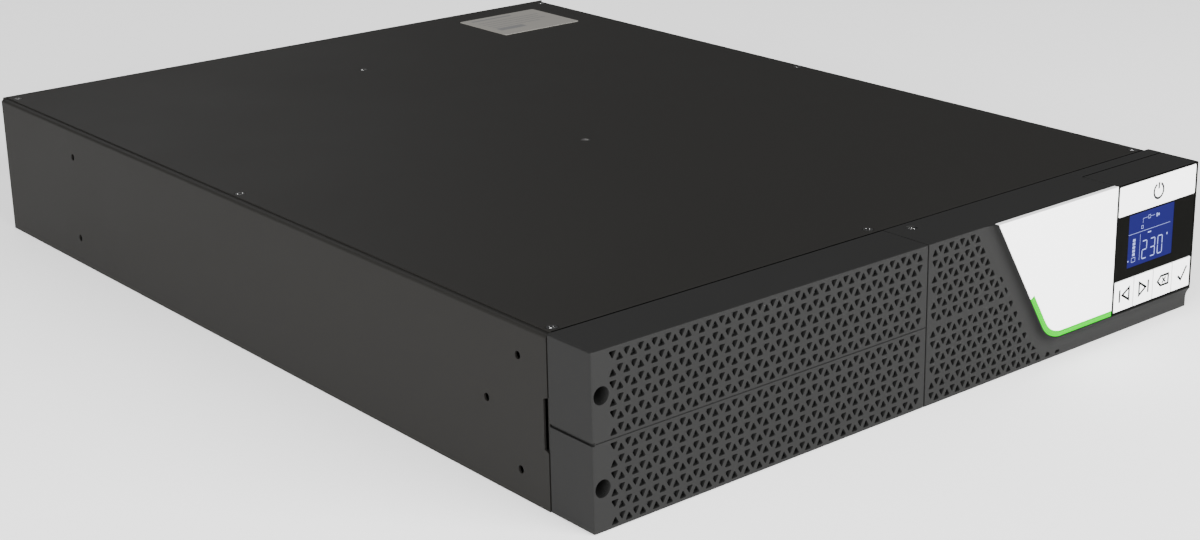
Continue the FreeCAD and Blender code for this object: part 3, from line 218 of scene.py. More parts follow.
# ------------------------------ mesh tools (millimetres in, metres out)
MERGE_DISTANCE = 1e-6  # metres


class Shape:
    """Vertices and faces in millimetres, gathered piece by piece."""

    def __init__(self):
        self.points, self.faces, self.tints = [], [], []
        self.tint = 0

    def add(self, points):
        start = len(self.points)
        self.points.extend(points)
        return list(range(start, len(self.points)))

    def face(self, indices):
        self.faces.append(tuple(indices))
        self.tints.append(self.tint)

    def bridge(self, first, second, closed=True, skip=()):
        """Quads between two loops with as many points each, but none at the skipped sides."""
        count = len(first) if closed else len(first) - 1
        for n in range(count):
            if n in skip:
                continue
            m = (n + 1) % len(first)
            self.face((first[n], first[m], second[m], second[n]))

    def loft(self, loops, cap_first=True, cap_last=True, skip=()):
        """Skin over a run of closed loops."""
        rings = [self.add(loop) for loop in loops]
        for first, second in zip(rings, rings[1:]):
            self.bridge(first, second, skip=skip)
        if cap_first:
            self.face(rings[0][::-1])
        if cap_last:
            self.face(rings[-1])
        return rings

    def make(self, name, body, *materials, smooth_degrees=35):
        """Object that rides a body, smooth but for the edges sharper than smooth_degrees."""
        mesh = bpy.data.meshes.new(name)
        mesh.from_pydata([(x * MM, y * MM, z * MM) for x, y, z in self.points], [], self.faces)
        for material in materials:
            mesh.materials.append(material)
        mesh.polygons.foreach_set("material_index", self.tints)
        work = bmesh.new()
        work.from_mesh(mesh)
        bmesh.ops.remove_doubles(work, verts=work.verts, dist=MERGE_DISTANCE)
        bmesh.ops.recalc_face_normals(work, faces=work.faces)
        work.to_mesh(mesh)
        work.free()
        mesh.shade_smooth()
        mesh.set_sharp_from_angle(angle=math.radians(smooth_degrees))
        obj = bpy.data.objects.new(name, mesh)
        bpy.context.scene.collection.objects.link(obj)
        even = obj.modifiers.new("even_normals", "WEIGHTED_NORMAL")
        even.keep_sharp = True
        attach(obj, body)
        return obj


def at_y(outline, y):
    return [(x, y, z) for x, z in outline]


def at_z(outline, z):
    return [(x, y, z) for x, y in outline]


def arc(centre, radius, start, end, steps):
    """Points from angle start to end, in degrees."""
    points = []
    for n in range(steps + 1):
        turn = math.radians(start + (end - start) * n / steps)
        points.append((centre[0] + radius * math.cos(turn), centre[1] + radius * math.sin(turn)))
    return points


def rounded(low, high, radius, inset=0.0, steps=4):
    """Rectangle with round corners, pulled in by inset, anticlockwise."""
    x0, z0 = low[0] + inset, low[1] + inset
    x1, z1 = high[0] - inset, high[1] - inset
    r = max(radius - inset, 0.02)
    return (arc((x1 - r, z0 + r), r, -90, 0, steps) + arc((x1 - r, z1 - r), r, 0, 90, steps)
            + arc((x0 + r, z1 - r), r, 90, 180, steps) + arc((x0 + r, z0 + r), r, 180, 270, steps))


def edge_profile(radius, steps=4):
    """(inset, depth) pairs of a quarter-round edge, from the front face to the side."""
    turns = [math.pi / 2 * n / steps for n in range(steps + 1)]
    return [(radius * (1 - math.sin(t)), radius * (1 - math.cos(t))) for t in turns]


def slab(shape, low, high, front, back, corner=0.5, edge=0.3):
    """Plate seen from the front, with round corners and a round front edge."""
    loops = [at_y(rounded(low, high, corner, inset), front + depth)
             for inset, depth in edge_profile(edge)]
    loops.append(at_y(rounded(low, high, corner), back))
    shape.loft(loops)


def stroke(shape, points, width, y, closed=False):
    """Flat line of even width along points, with mitred corners, facing the front."""
    count = len(points)
    left, right = [], []
    for n, (x, z) in enumerate(points):
        before = points[n - 1] if n or closed else None
        after = points[(n + 1) % count] if n < count - 1 or closed else None
        ways = []
        if before:
            ways.append(Vector((x - before[0], z - before[1])).normalized())
        if after:
            ways.append(Vector((after[0] - x, after[1] - z)).normalized())
        way = sum(ways, Vector((0, 0))).normalized()
        side = Vector((-way[1], way[0]))
        reach = width / 2 / max(0.3, side.dot(Vector((-ways[0][1], ways[0][0]))))
        left.append((x + side[0] * reach, y, z + side[1] * reach))
        right.append((x - side[0] * reach, y, z - side[1] * reach))
    shape.bridge(shape.add(left), shape.add(right), closed)


def corners(x0, x1, y0, y1):
    """Rectangle, anticlockwise from its lowest corner."""
    return [(x0, y0), (x1, y0), (x1, y1), (x0, y1)]


def patch(shape, x0, x1, z0, z1, y):
    """Flat rectangle that faces the front."""
    shape.face(shape.add(at_y(corners(x0, x1, z0, z1), y)))


# ------------------------------ perforated front
HOLE_ROUNDING = 0.42  # corner radius of the triangles
HOLE_LIP = 0.22  # rounding of their front edge
LIP_STEPS = (0.35, 0.7, 1.0)  # from the rounded edge's outside to the hole
WALL = 2.5


def triangle_loops(triangle):
    """Outer and inner loop of one hole: the lip at the front face, and the hole itself."""
    cx = sum(x for x, _ in triangle) / 3
    cz = sum(z for _, z in triangle) / 3
    outer, inner = [], []
    for x, z in triangle:
        out = Vector((x - cx, z - cz)).normalized()
        middle = Vector((x, z)) - out * 2 * HOLE_ROUNDING
        heading = math.degrees(math.atan2(out[1], out[0]))
        outer += arc(middle, HOLE_ROUNDING + HOLE_LIP, heading - 60, heading + 60, 3)
        inner += arc(middle, HOLE_ROUNDING, heading - 60, heading + 60, 3)
    return outer, inner


def clip(loop, point, normal):
    """The part of a convex loop on the side of the line that normal points to."""
    kept = []
    for n, here in enumerate(loop):
        there = loop[(n + 1) % len(loop)]
        a = (here[0] - point[0]) * normal[0] + (here[1] - point[1]) * normal[1]
        b = (there[0] - point[0]) * normal[0] + (there[1] - point[1]) * normal[1]
        if a >= 0:
            kept.append(here)
        if a * b < 0:
            t = a / (a - b)
            kept.append((here[0] + (there[0] - here[0]) * t, here[1] + (there[1] - here[1]) * t))
    return kept


def area(loop):
    """Area of a loop, with a sign that tells which way round it runs."""
    return sum(loop[n - 1][0] * p[1] - p[0] * loop[n - 1][1] for n, p in enumerate(loop)) / 2


def from_front(y):
    """Places a point of a wall that is seen from the front, at a depth behind its face."""
    return lambda across, up, depth: (across, y + depth, up)


def from_above(z):
    """The same for a wall that is seen from above."""
    return lambda across, along, depth: (across, along, z - depth)


def perforated(shape, outline, holes, place, wall=WALL, hole_tint=0):
    """Wall with holes: its face with every hole cut out, the holes' walls and the back face.

    A hole is (lip loop, hole loop, depth). No depth means right through, less than the wall's
    thickness a pocket, and more a deep well with a floor.
    """
    flat, loops = [], []
    for loop in [outline] + [outer for outer, _, _ in holes]:
        loops.append(list(range(len(flat), len(flat) + len(loop))))
        flat += [Vector(point) for point in loop]
    edges = [(loop[n - 1], index) for loop in loops for n, index in enumerate(loop)]
    found = geometry.delaunay_2d_cdt(flat, edges, [], 0, 1e-6, True)
    spots, _, triangles, sources = found[:4]
    owner = {index: number for number, loop in enumerate(loops) for index in loop}
    pocket = {n + 1 for n, (_, _, depth) in enumerate(holes) if depth and depth < wall}
    back = {}
    for number, (_, inner, _) in enumerate(holes):
        if number + 1 not in pocket:
            back.update(zip(loops[number + 1], inner))
    face_front, face_back = [], []
    for spot, source in zip(spots, sources):
        face_front.append(place(*spot, 0))
        there = back.get(source[0], spot) if source else spot
        face_back.append(place(*there, wall))
    first, second = shape.add(face_front), shape.add(face_back)
    rim = [Vector(point) for point in outline]
    for triangle in triangles:
        owners = {owner[sources[v][0]] if sources[v] else 0 for v in triangle}
        middle = sum((spots[v] for v in triangle), Vector((0, 0))) / 3
        if len(owners) == 1 and owners <= pocket:
            shape.face([second[v] for v in triangle][::-1])
            continue
        if len(owners) == 1 and (owners != {0} or not inside(middle, rim)):
            continue
        shape.face([first[v] for v in triangle])
        shape.face([second[v] for v in triangle][::-1])
    shape.tint = hole_tint
    for outer, inner, depth in holes:
        rings = [[place(*point, 0) for point in outer]]
        for k in LIP_STEPS:
            rise = 1 - math.sqrt(max(0.0, 1 - k * k))
            rings.append([place(o[0] + (i[0] - o[0]) * k, o[1] + (i[1] - o[1]) * k, rise * HOLE_LIP)
                          for o, i in zip(outer, inner)])
        rings.append([place(*point, min(depth or wall, wall)) for point in inner])
        if depth and depth > wall:
            rings.append([place(*point, depth) for point in inner])
        shape.loft(rings, False, bool(depth))
    shape.tint = 0


def inside(point, loop):
    """Whether a point lies inside a closed loop."""
    crossings = 0
    for n, there in enumerate(loop):
        here = loop[n - 1]
        if (here[1] > point[1]) != (there[1] > point[1]):
            x = here[0] + (point[1] - here[1]) * (there[0] - here[0]) / (there[1] - here[1])
            crossings += point[0] < x
    return crossings % 2 == 1


# ------------------------------ outlines


def pulled(loop, amount):
    """Closed loop moved inwards by amount, with mitred corners; the loop runs anticlockwise."""
    moved = []
    for n, here in enumerate(loop):
        before = Vector(here) - Vector(loop[n - 1])
        after = Vector(loop[(n + 1) % len(loop)]) - Vector(here)
        before.normalize()
        after.normalize()
        side_before = Vector((-before[1], before[0]))
        side_after = Vector((-after[1], after[0]))
        middle = (side_before + side_after).normalized()
        reach = amount / max(0.4, middle.dot(side_after))
        moved.append((here[0] + middle[0] * reach, here[1] + middle[1] * reach))
    return moved


def plaque(shape, loop, front, back, edge):
    """Plate of any outline with a round front edge."""
    loops = [at_y(pulled(loop, inset), front + depth) for inset, depth in edge_profile(edge)]
    loops.append(at_y(loop, back))
    shape.loft(loops)


def span(node):
    """Lowest and highest corner of a CAD node in millimetres."""
    low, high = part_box(node)
    return low / MM, high / MM


DOOR_LOW, DOOR_HIGH = span("battery_door")
BEZEL_LOW, BEZEL_HIGH = span("display_bezel")
PLATE_LOW, PLATE_HIGH = span("trim_plate")
STRIP_LOW, STRIP_HIGH = span("trim_strip")
HOUSING_LOW, HOUSING_HIGH = span("display_housing")
LENS_LOW, LENS_HIGH = span("display_lens")
GRILLE_Y = DOOR_LOW[1]
FRONT_RAISE = 0.4
TOP = DOOR_HIGH[2] + FRONT_RAISE  # top of the door and bezel, just above the cover
COVER_DROP = 0.1  # from the front's top down to the cover's
COVER_BACK = 0.1  # from the front edge of the CAD cover

PITCH = 8.13  # side of a triangle with its share of the ribs
ROW = PITCH * math.sqrt(3) / 2
RIB = 2.15
ROWS = 6
BLOCK_TOPS = (86.6, 43.0)
DOOR_GRILLE = (-207.7, 50, False)  # first middle, how many in a row, whether the first points up
BEZEL_GRILLE = (2.8, 28, 112.0)  # first middle, how many in a row, last middle
SMALLEST_HOLE = 4.6  # mm2 left of a triangle that the band cuts
SEAM = 43.9
SEAM_HALF = 0.35
GROOVE_HALF = 0.8  # where the groove turns round the door's end
GROOVE_DEPTH = 1.4
BACK_EDGE = 0.8  # step at the door's back edge
FRONT_EDGE = 0.4  # rounding of the front's edges
EDGE_STEPS = 5
FLAT_ROOF = 16  # degrees; keeps the round edges from tinting the flat top
WORN = 0.3  # bevel of the back edges
BAY_GAP = 0.7  # between the display module and the wall behind it
BAY_CLEAR = 0.3  # on the module's left and below it
EASE = 0.6  # where the roof's rounded edge runs out beside the band

SCREW_HOLES = ((-214.5, 66.2), (-214.5, 21.4))
SCREW_HOLE_RADIUS = 4.35
SCREW_HOLE_DEPTH = 26.7
POST_LEFT, POST_RIGHT, POST_HALF = 5.2, 5.5, 5.8  # block round each screw hole, behind the wall
ROOF_SCREW = (12.0, GRILLE_Y + 25.0)
ROOF_SEAT_RADIUS = 3.1
ROOF_SEAT_DEPTH = 1.6

SLANT = math.radians(30.7)
SLANT_OUT = Vector((-math.cos(SLANT), -math.sin(SLANT)))
SLANT_UP = Vector((-math.sin(SLANT), math.cos(SLANT)))
CORNER = 18.5
PLATE_BOTTOM = STRIP_LOW[2]
PLATE_TOP_LEFT = Vector((PLATE_LOW[0], TOP))
CENTRE_Z = PLATE_BOTTOM + CORNER
CENTRE = Vector((PLATE_TOP_LEFT[0] + (CORNER + SLANT_OUT[1] * (CENTRE_Z - TOP)) / -SLANT_OUT[0],
                 CENTRE_Z))
CORNER_STEPS = 14
STRIP = 3.2
STRIP_TOP = 40.0
STRIP_GAP = 0.05
BAND = 9.0
BAND_RISE = 2.8
BAND_BEND = 2.7  # the higher, the later the hollow turns outwards
BAND_STEPS = 16
BAND_SEAT = 0.15  # where the band ends beside the plate
BAND_CLEAR = 0.35  # least web between the band and a whole triangle
BAND_CUT = 0.5  # web between the band and a triangle that it cuts
CUT_LIP = 0.12  # rounding of a cut triangle's front edge
SHORTEST_SIDE = 0.02
LIP = 0.8
# painted shade on the band: where it starts along Y, where it is darkest, and how dark
SHADE_START, SHADE_END = GRILLE_Y - 0.05, GRILLE_Y - 1.7
SHADE_LEAST = 0.5


def path_round(offset, right):
    """Open line round the plate at an offset: down the slant, round the corner, to the right."""
    reach = CORNER + offset
    start = PLATE_TOP_LEFT + SLANT_OUT * offset
    start = start + SLANT_UP * ((TOP - start[1]) / SLANT_UP[1])
    heading = math.degrees(math.atan2(SLANT_OUT[1], SLANT_OUT[0])) % 360
    points = [tuple(start)] + arc(CENTRE, reach, heading, 270, CORNER_STEPS)
    return points + [(right, PLATE_BOTTOM - offset)]


def off_plate(x, z):
    """Distance of a point from the plate's outline, and the way straight out from it."""
    away = Vector((x, z)) - CENTRE
    if away.dot(SLANT_UP) > 0:
        return (Vector((x, z)) - PLATE_TOP_LEFT).dot(SLANT_OUT), SLANT_OUT
    if away[0] > 0:
        return PLATE_BOTTOM - z, Vector((0, -1))
    return away.length - CORNER, away.normalized()


# ------------------------------ battery door and bezel


def lattice(first_x, cells, first_up):
    """Corners of every triangle of the grille, row by row."""
    side = PITCH - RIB * math.sqrt(3)
    tall = side * math.sqrt(3) / 2
    for top in BLOCK_TOPS:
        for row in range(ROWS):
            low = top - (row + 1) * ROW
            for cell in range(cells):
                x = first_x + cell * PITCH / 2
                if (row + cell) % 2 == (0 if first_up else 1):
                    base = low + ROW / 3 - tall / 3
                    yield [(x - side / 2, base), (x + side / 2, base), (x, base + tall)]
                else:
                    base = low + 2 * ROW / 3 + tall / 3
                    yield [(x - side / 2, base), (x, base - tall), (x + side / 2, base)]


def groove_hole(left, right):
    """Fine groove across the front at half height."""
    outer = corners(left, right, SEAM - SEAM_HALF, SEAM + SEAM_HALF)
    return outer, pulled(outer, 0.08), 0.6


def circle(centre, radius, count):
    """Closed loop of evenly spaced points."""
    return arc(centre, radius, 0, 360 - 360 / count, count - 1)


def ring_hole(centre, radius, depth):
    """Round hole with a rounded lip."""
    return circle(centre, radius + HOLE_LIP, 32), circle(centre, radius, 32), depth


def door():
    """Left half of the front: two stacked bands of grille with a groove between them."""
    x0, x1 = DOOR_LOW[0], DOOR_HIGH[0]
    back = DOOR_HIGH[1]
    wall = 2.2
    deep, fine = 0.9, FRONT_EDGE
    # x, z, front edge's pull in x and z, way in for the inner skin
    rim = [
        (x1, 0, -fine, fine, -1, 1), (x1, TOP, -fine, -fine, -1, -1),
        (x0 + 0.5, TOP, deep, -fine, 1, -1), (x0, TOP - 0.5, deep, -fine, 1, -1),
        (x0, SEAM + GROOVE_HALF, deep, 0.15, 1, 1),
        (x0 + GROOVE_DEPTH, SEAM + GROOVE_HALF, 0.1, 0.15, 1, 1),
        (x0 + GROOVE_DEPTH, SEAM - GROOVE_HALF, 0.1, -0.15, 1, -1),
        (x0, SEAM - GROOVE_HALF, deep, -0.15, 1, -1),
        (x0, 0.5, deep, fine, 1, 1), (x0 + 0.5, 0, deep, fine, 1, 1),
    ]
    shape = Shape()
    steps = [math.pi / 2 * n / EDGE_STEPS for n in range(EDGE_STEPS + 1)]
    skin = [at_y([(x + px * (1 - math.sin(t)), z + pz * (1 - math.sin(t)))
                  for x, z, px, pz, _, _ in rim], GRILLE_Y + deep * (1 - math.cos(t)))
            for t in steps]
    inner = [(x + wall * ix, z + wall * iz) for x, z, _, _, ix, iz in rim]
    step = [(x + BACK_EDGE * (ix > 0), z) for x, z, _, _, ix, _ in rim]
    worn = [(x, z + WORN * iz) for (x, z), (*_, iz) in zip(step, rim)]
    skin.append(at_y([(x, z) for x, z, *_ in rim], back - BACK_EDGE))
    skin.append(at_y(step, back - BACK_EDGE))
    skin.append(at_y(step, back - WORN))
    skin.append(at_y(worn, back))
    skin.append(at_y(inner, back))
    skin.append(at_y(inner, GRILLE_Y + WALL))
    shape.loft(skin, False, False)
    holes = [(*triangle_loops(triangle), None) for triangle in lattice(*DOOR_GRILLE)]
    holes += [ring_hole(centre, SCREW_HOLE_RADIUS, SCREW_HOLE_DEPTH) for centre in SCREW_HOLES]
    holes.append(groove_hole(x0 + GROOVE_DEPTH + 0.2, x1 - fine - 0.1))
    perforated(shape, [(x + px, z + pz) for x, z, px, pz, _, _ in rim], holes,
               from_front(GRILLE_Y))
    for x, z in SCREW_HOLES:
        post = corners(x - POST_LEFT, x + POST_RIGHT, z - POST_HALF, z + POST_HALF)
        shape.loft([at_y(post, GRILLE_Y + WALL - 0.5), at_y(post, back - 1.0)], False)
    obj = shape.make("door_front", "battery_door", MATERIALS["bezel_plastic"],
                     smooth_degrees=FLAT_ROOF)
    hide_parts("battery_door")


def bezel_holes(first_x, cells, last_x):
    """Triangles clear of the band, and what the band leaves of those that it cuts."""
    holes = []
    for triangle in lattice(first_x, cells, True):
        outer, inner = triangle_loops(triangle)
        nearest = min(off_plate(x, z)[0] for x, z in outer)
        if nearest >= BAND + BAND_CLEAR:
            holes.append((outer, inner, None))
            continue
        middle = (sum(x for x, _ in triangle) / 3, sum(z for _, z in triangle) / 3)
        distance, out = off_plate(*middle)
        if middle[0] > last_x:
            continue
        edge = Vector(middle) + out * (BAND + BAND_CUT - distance)
        kept = clip(inner, edge, out)
        if len(kept) > 2 and abs(area(kept)) > SMALLEST_HOLE:
            kept = [p for n, p in enumerate(kept)
                    if (Vector(p) - Vector(kept[n - 1])).length > SHORTEST_SIDE]
            lip = pulled(kept, -CUT_LIP) if area(kept) > 0 else kept
            holes.append((lip, kept, None))
    return holes


def bezel():
    """Right half of the front: grille, hollow curved band and the bay of the display module."""
    x0, x1 = BEZEL_LOW[0], BEZEL_HIGH[0]
    back = BEZEL_HIGH[1]
    bay_left, bay_floor = HOUSING_LOW[0] - BAY_CLEAR, HOUSING_LOW[2] - BAY_CLEAR
    bay_back = HOUSING_HIGH[1] + BAY_GAP
    fine = FRONT_EDGE
    edge = path_round(BAND, x1)
    turn_x = edge[0][0]
    rim = [
        (x0, 0, fine, fine), (x1, 0, 0, fine), (x1, edge[-1][1], 0, 0),
        (x1, bay_floor, 0, 0), (bay_left, bay_floor, 0, 0), (bay_left, TOP, 0, 0),
        (turn_x, TOP, 0, 0), (turn_x - EASE, TOP, 0, -fine), (x0, TOP, fine, -fine),
    ]
    shape = Shape()
    skin = []
    for n in range(EDGE_STEPS + 1):
        t = math.pi / 2 * n / EDGE_STEPS
        skin.append(at_y([(x + px * (1 - math.sin(t)), z + pz * (1 - math.sin(t)))
                          for x, z, px, pz in rim], GRILLE_Y + fine * (1 - math.cos(t))))
    skin.append(at_y([(x, z) for x, z, _, _ in rim], bay_back))
    shape.loft(skin[:-1], False, False, skip=(5,))
    shape.loft(skin[-2:], False, False, skip=(5, 6, 7))
    patch(shape, bay_left, x1, bay_floor, TOP, bay_back)
    whole = [(x0, TOP), (x0, 0), (x1, 0), (x1, TOP)]
    worn = [(x0, TOP - WORN)] + whole[1:3] + [(x1, TOP - WORN)]
    behind = [shape.add(at_y(whole, bay_back)), shape.add(at_y(whole, back - WORN)),
              shape.add(at_y(worn, back))]
    shape.bridge(behind[0], behind[1], closed=False)
    shape.bridge(behind[1], behind[2])
    inner = pulled(whole, WALL)
    shape.loft([at_y(worn, back), at_y(inner, back), at_y(inner, GRILLE_Y + WALL)], False, False)
    roof = [(x0, GRILLE_Y + fine), (turn_x - EASE, GRILLE_Y + fine), (turn_x, GRILLE_Y),
            (bay_left, GRILLE_Y), (bay_left, bay_back), (x1, bay_back), (x1, back - WORN),
            (x0, back - WORN)]
    seat = ring_hole(ROOF_SCREW, ROOF_SEAT_RADIUS, ROOF_SEAT_DEPTH)
    perforated(shape, roof, [seat], from_above(TOP))
    front = [(x + px, z + pz) for x, z, px, pz in rim]
    outline = front[:2] + edge[::-1] + front[7:]
    perforated(shape, outline, bezel_holes(*BEZEL_GRILLE), from_front(GRILLE_Y))
    band(shape, x1)
    # painted shade in the band's hollow, darkest beside the plate
    shade = MATERIALS["painted_shade_plastic"]
    darker_forwards(shade, SHADE_START, SHADE_END, SHADE_LEAST)
    obj = shape.make("bezel_front", "chassis", MATERIALS["bezel_plastic"], shade,
                     smooth_degrees=FLAT_ROOF)
    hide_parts("display_bezel")


def band(shape, right):
    """Hollow curve that rises from the grille to a narrow lip round the plate."""
    behind = 0.1
    profile = [(BAND - (BAND - LIP) * n / BAND_STEPS, -BAND_RISE * (n / BAND_STEPS) ** BAND_BEND)
               for n in range(BAND_STEPS + 1)]
    profile += [(0.6, -BAND_RISE - 0.05), (0.35, -BAND_RISE), (0.2, -BAND_RISE + 0.12),
                (BAND_SEAT, -BAND_RISE + 0.35), (BAND_SEAT, behind)]
    rows = [shape.add(at_y(path_round(offset, right), GRILLE_Y + rise)) for offset, rise in profile]
    # the band's faces take the material with painted shade
    shape.tint = 1
    for first, second in zip(rows, rows[1:]):
        shape.bridge(first, second, closed=False)
    shape.tint = 0
    shape.face([row[0] for row in rows])
    shape.face([row[-1] for row in rows])
    seat = path_round(BAND_SEAT, right)
    shape.face(shape.add(at_y(seat + [(right, TOP)], GRILLE_Y + behind)))


def plate():
    """White plate and the green light guide along its lower edge."""
    right = PLATE_HIGH[0]
    outer = path_round(0, right)
    inner = path_round(-STRIP, right)
    along = (STRIP_TOP - TOP) / SLANT_UP[1]
    turn_out = PLATE_TOP_LEFT + SLANT_UP * along
    turn_in = turn_out - SLANT_OUT * STRIP
    face = [tuple(PLATE_TOP_LEFT), tuple(turn_out), tuple(turn_in)] + inner[1:] + [(right, TOP)]
    shape = Shape()
    plaque(shape, face, PLATE_LOW[1], PLATE_HIGH[1], 0.35)
    obj = shape.make("white_plate", "chassis", MATERIALS["white_plastic"])
    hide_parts("trim_plate")
    start = turn_out - SLANT_UP * STRIP_GAP
    strip = [tuple(start)] + outer[1:] + [(right, inner[-1][1] - STRIP_GAP)]
    strip += path_round(-STRIP + STRIP_GAP, right)[1:-1][::-1]
    strip.append(tuple(turn_in - SLANT_UP * STRIP_GAP))
    guide = Shape()
    plaque(guide, strip, STRIP_LOW[1], STRIP_HIGH[1], 0.3)
    obj = guide.make("green_strip", "chassis", MATERIALS["green_light_guide"])
    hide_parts("trim_strip")


# ------------------------------ display module
KEY_FRONT = PLATE_LOW[1] + 0.06  # key tops; their marks lie just above them
MARK_FRONT = PLATE_LOW[1] + 0.03
LCD_LOW, LCD_HIGH = Vector((158.8, 37.8)), Vector((199.6, 68.4))
MODULE = "display_module"
KEY_LINE = 1.35
CROSS_LINE = 1.0
KEY_GAP = 0.28  # what each key top is narrower by on either side
KEY_DEPTH = 2.4
STEM_HALF = 2
STEM_OVERLAP = 0.1
POWER_LINE = 1.35
RING_RADIUS = 4.3
HOUSING_RAISE = 0.1  # from the front's top up to the module's
HOUSING_CORNER = 0.5
RIGHT_WALL = 0.7  # extra width of the housing's right wall
WINDOW_DEPTH = 0.25
LCD_BEHIND = 0.12  # from the lens to the lit display behind its window
FIGURES_BEHIND = 0.09
LCD_MARGIN = Vector((0.3, 0.3))  # how far the lit display reaches behind the window's frame


def cap_with_plunger(shape, node, corner, edge):
    """Key top with round edges, and the stem behind it that reaches its switch."""
    low, high = span(node)
    right = min(high[0], LENS_HIGH[0] - RIGHT_WALL)
    slab(shape, (low[0] + KEY_GAP, low[2]), (right - KEY_GAP, high[2]), KEY_FRONT,
         low[1] + KEY_DEPTH, corner, edge)
    x, z = (low[0] + high[0]) / 2, (low[2] + high[2]) / 2
    slab(shape, (x - STEM_HALF, z - STEM_HALF), (x + STEM_HALF, z + STEM_HALF),
         low[1] + KEY_DEPTH - STEM_OVERLAP, high[1], 0.3, 0.1)


def mark(name, body, material, draw):
    """Printed or lit figure: draw fills the shape."""
    shape = Shape()
    draw(shape)
    obj = shape.make(name, body, MATERIALS[material])


def key_mark(shape, node, lines):
    """Outline icon on a key; lines hold points as parts of the key's width and height."""
    low, high = span(node)
    for points, closed, width in lines:
        place = [(low[0] + u * (high[0] - low[0]), high[2] - v * (high[2] - low[2]))
                 for u, v in points]
        stroke(shape, place, width, MARK_FRONT, closed)


KEY_MARKS = {
    "key_previous": [([(0.28, 0.29), (0.28, 0.71)], False, KEY_LINE),
                     ([(0.42, 0.49), (0.76, 0.30), (0.76, 0.70)], True, KEY_LINE)],
    "key_next": [([(0.28, 0.28), (0.28, 0.70), (0.62, 0.49)], True, KEY_LINE),
                 ([(0.75, 0.28), (0.75, 0.70)], False, KEY_LINE)],
    "key_back": [([(0.24, 0.48), (0.40, 0.32), (0.80, 0.32), (0.80, 0.64), (0.40, 0.64)], True,
                  KEY_LINE),
                 ([(0.48, 0.39), (0.66, 0.57)], False, CROSS_LINE),
                 ([(0.48, 0.57), (0.66, 0.39)], False, CROSS_LINE)],
    "key_confirm": [([(0.31, 0.54), (0.48, 0.69), (0.765, 0.28)], False, KEY_LINE)],
}


def power_mark(shape):
    """Ring with a gap at its top and an upright bar in the gap."""
    low, high = span("power_button")
    centre = ((low[0] + high[0]) / 2, (low[2] + high[2]) / 2)
    stroke(shape, arc(centre, RING_RADIUS, 115, 425, 40), POWER_LINE, MARK_FRONT)
    stroke(shape, [(centre[0], centre[1] + RING_RADIUS * 1.15),
                   (centre[0], centre[1] + RING_RADIUS * 0.3)], POWER_LINE, MARK_FRONT)


def keys():
    """The four white keys and the power button, each with its icon."""
    for node, lines in KEY_MARKS.items():
        shape = Shape()
        cap_with_plunger(shape, node, 0.5, 0.35)
        obj = shape.make(node + "_cap", node, MATERIALS["white_plastic"])
        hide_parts(node)
        mark(node + "_mark", node, "printed_mark",
             lambda figure: key_mark(figure, node, lines))
    shape = Shape()
    cap_with_plunger(shape, "power_button", 0.7, 0.4)
    obj = shape.make("power_button_cap", "power_button", MATERIALS["white_plastic"])
    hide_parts("power_button")
    mark("power_mark", "power_button", "printed_ring", power_mark)


def housing():
    """Thin black box that holds the display and keys, open at the front."""
    low, high = HOUSING_LOW, HOUSING_HIGH
    wall, roof = 0.9, 0.4
    x0, x1, z0, z1 = low[0], high[0], low[2], TOP + HOUSING_RAISE
    hole_low, hole_high = (x0 + wall, z0 + wall), (x1 - wall - RIGHT_WALL, high[2] - roof)
    shape = Shape()
    edge = 0.3
    loops = [at_y(rounded(hole_low, hole_high, 0.3), high[1] - 1.6)]
    loops.append(at_y(rounded(hole_low, hole_high, 0.3), low[1] + 0.1))
    loops.append(at_y(rounded(hole_low, hole_high, 0.4, -0.1), low[1]))
    loops.append(at_y(rounded((x0, z0), (x1, z1), HOUSING_CORNER, edge), low[1]))
    loops.append(at_y(rounded((x0, z0), (x1, z1), HOUSING_CORNER), low[1] + edge))
    # the front rim and the inside of the opening take the glossy black of the lens: painted shade for
    # the dark line round the keys
    shape.tint = 1
    rings = shape.loft(loops, True, False)
    shape.tint = 0
    loops = []
    for inset, depth in edge_profile(0.4)[::-1]:
        loops.append(at_y(rounded((x0, z0), (x1, z1), HOUSING_CORNER, inset), high[1] - depth))
    outside = shape.loft(loops, False, True)
    shape.bridge(rings[-1], outside[0])
    key_top = span("key_next")[1][2]
    for z in (key_top + 0.8, LENS_HIGH[2] - 2.0):
        slab(shape, (hole_low[0] - 0.2, z), (hole_high[0] + 0.2, z + 1.4), low[1] + 3.3, low[1] + 12,
             0.1, 0.1)
    obj = shape.make("module_housing", MODULE, MATERIALS["bezel_plastic"], MATERIALS["black_lens"])
    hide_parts("display_housing")


def lens():
    """Glossy black pane with a clear window; the lit display stands just behind the window."""
    low, high = LENS_LOW, LENS_HIGH - Vector((RIGHT_WALL, 0, 0))
    shape = Shape()
    outer = rounded((low[0], low[2]), (high[0], high[2]), 0.4)
    window = rounded(LCD_LOW, LCD_HIGH, 0.5)
    skin = [at_y(window, low[1] + WINDOW_DEPTH), at_y(window, low[1])]
    skin += [at_y(rounded((low[0], low[2]), (high[0], high[2]), 0.4, inset), low[1] + depth)
             for inset, depth in edge_profile(0.25)]
    skin.append(at_y(outer, high[1]))
    shape.loft(skin, False, True)
    obj = shape.make("lens_pane", MODULE, MATERIALS["black_lens"])
    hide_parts("display_lens")
    lit = Shape()
    slab(lit, tuple(LCD_LOW - LCD_MARGIN), tuple(LCD_HIGH + LCD_MARGIN),
         low[1] + LCD_BEHIND, low[1] + 0.5, 0.5, 0.02)
    obj = lit.make("lit_display", MODULE, MATERIALS["lcd_glass"])
    mark("display_figures", MODULE, "lit_figures", figures)


def on_display(u, v):
    """Point of the lit area from parts of its width, and of its height from the top."""
    return (LCD_LOW[0] + u * (LCD_HIGH[0] - LCD_LOW[0]), LCD_HIGH[1] - v * (LCD_HIGH[1] - LCD_LOW[1]))


DIGIT_BARS = {"2": "abged", "3": "abgcd", "0": "abcdef"}  # of seven bars, clockwise from the top
FLOW_LINE = 0.22
BOX_LINE = 0.28


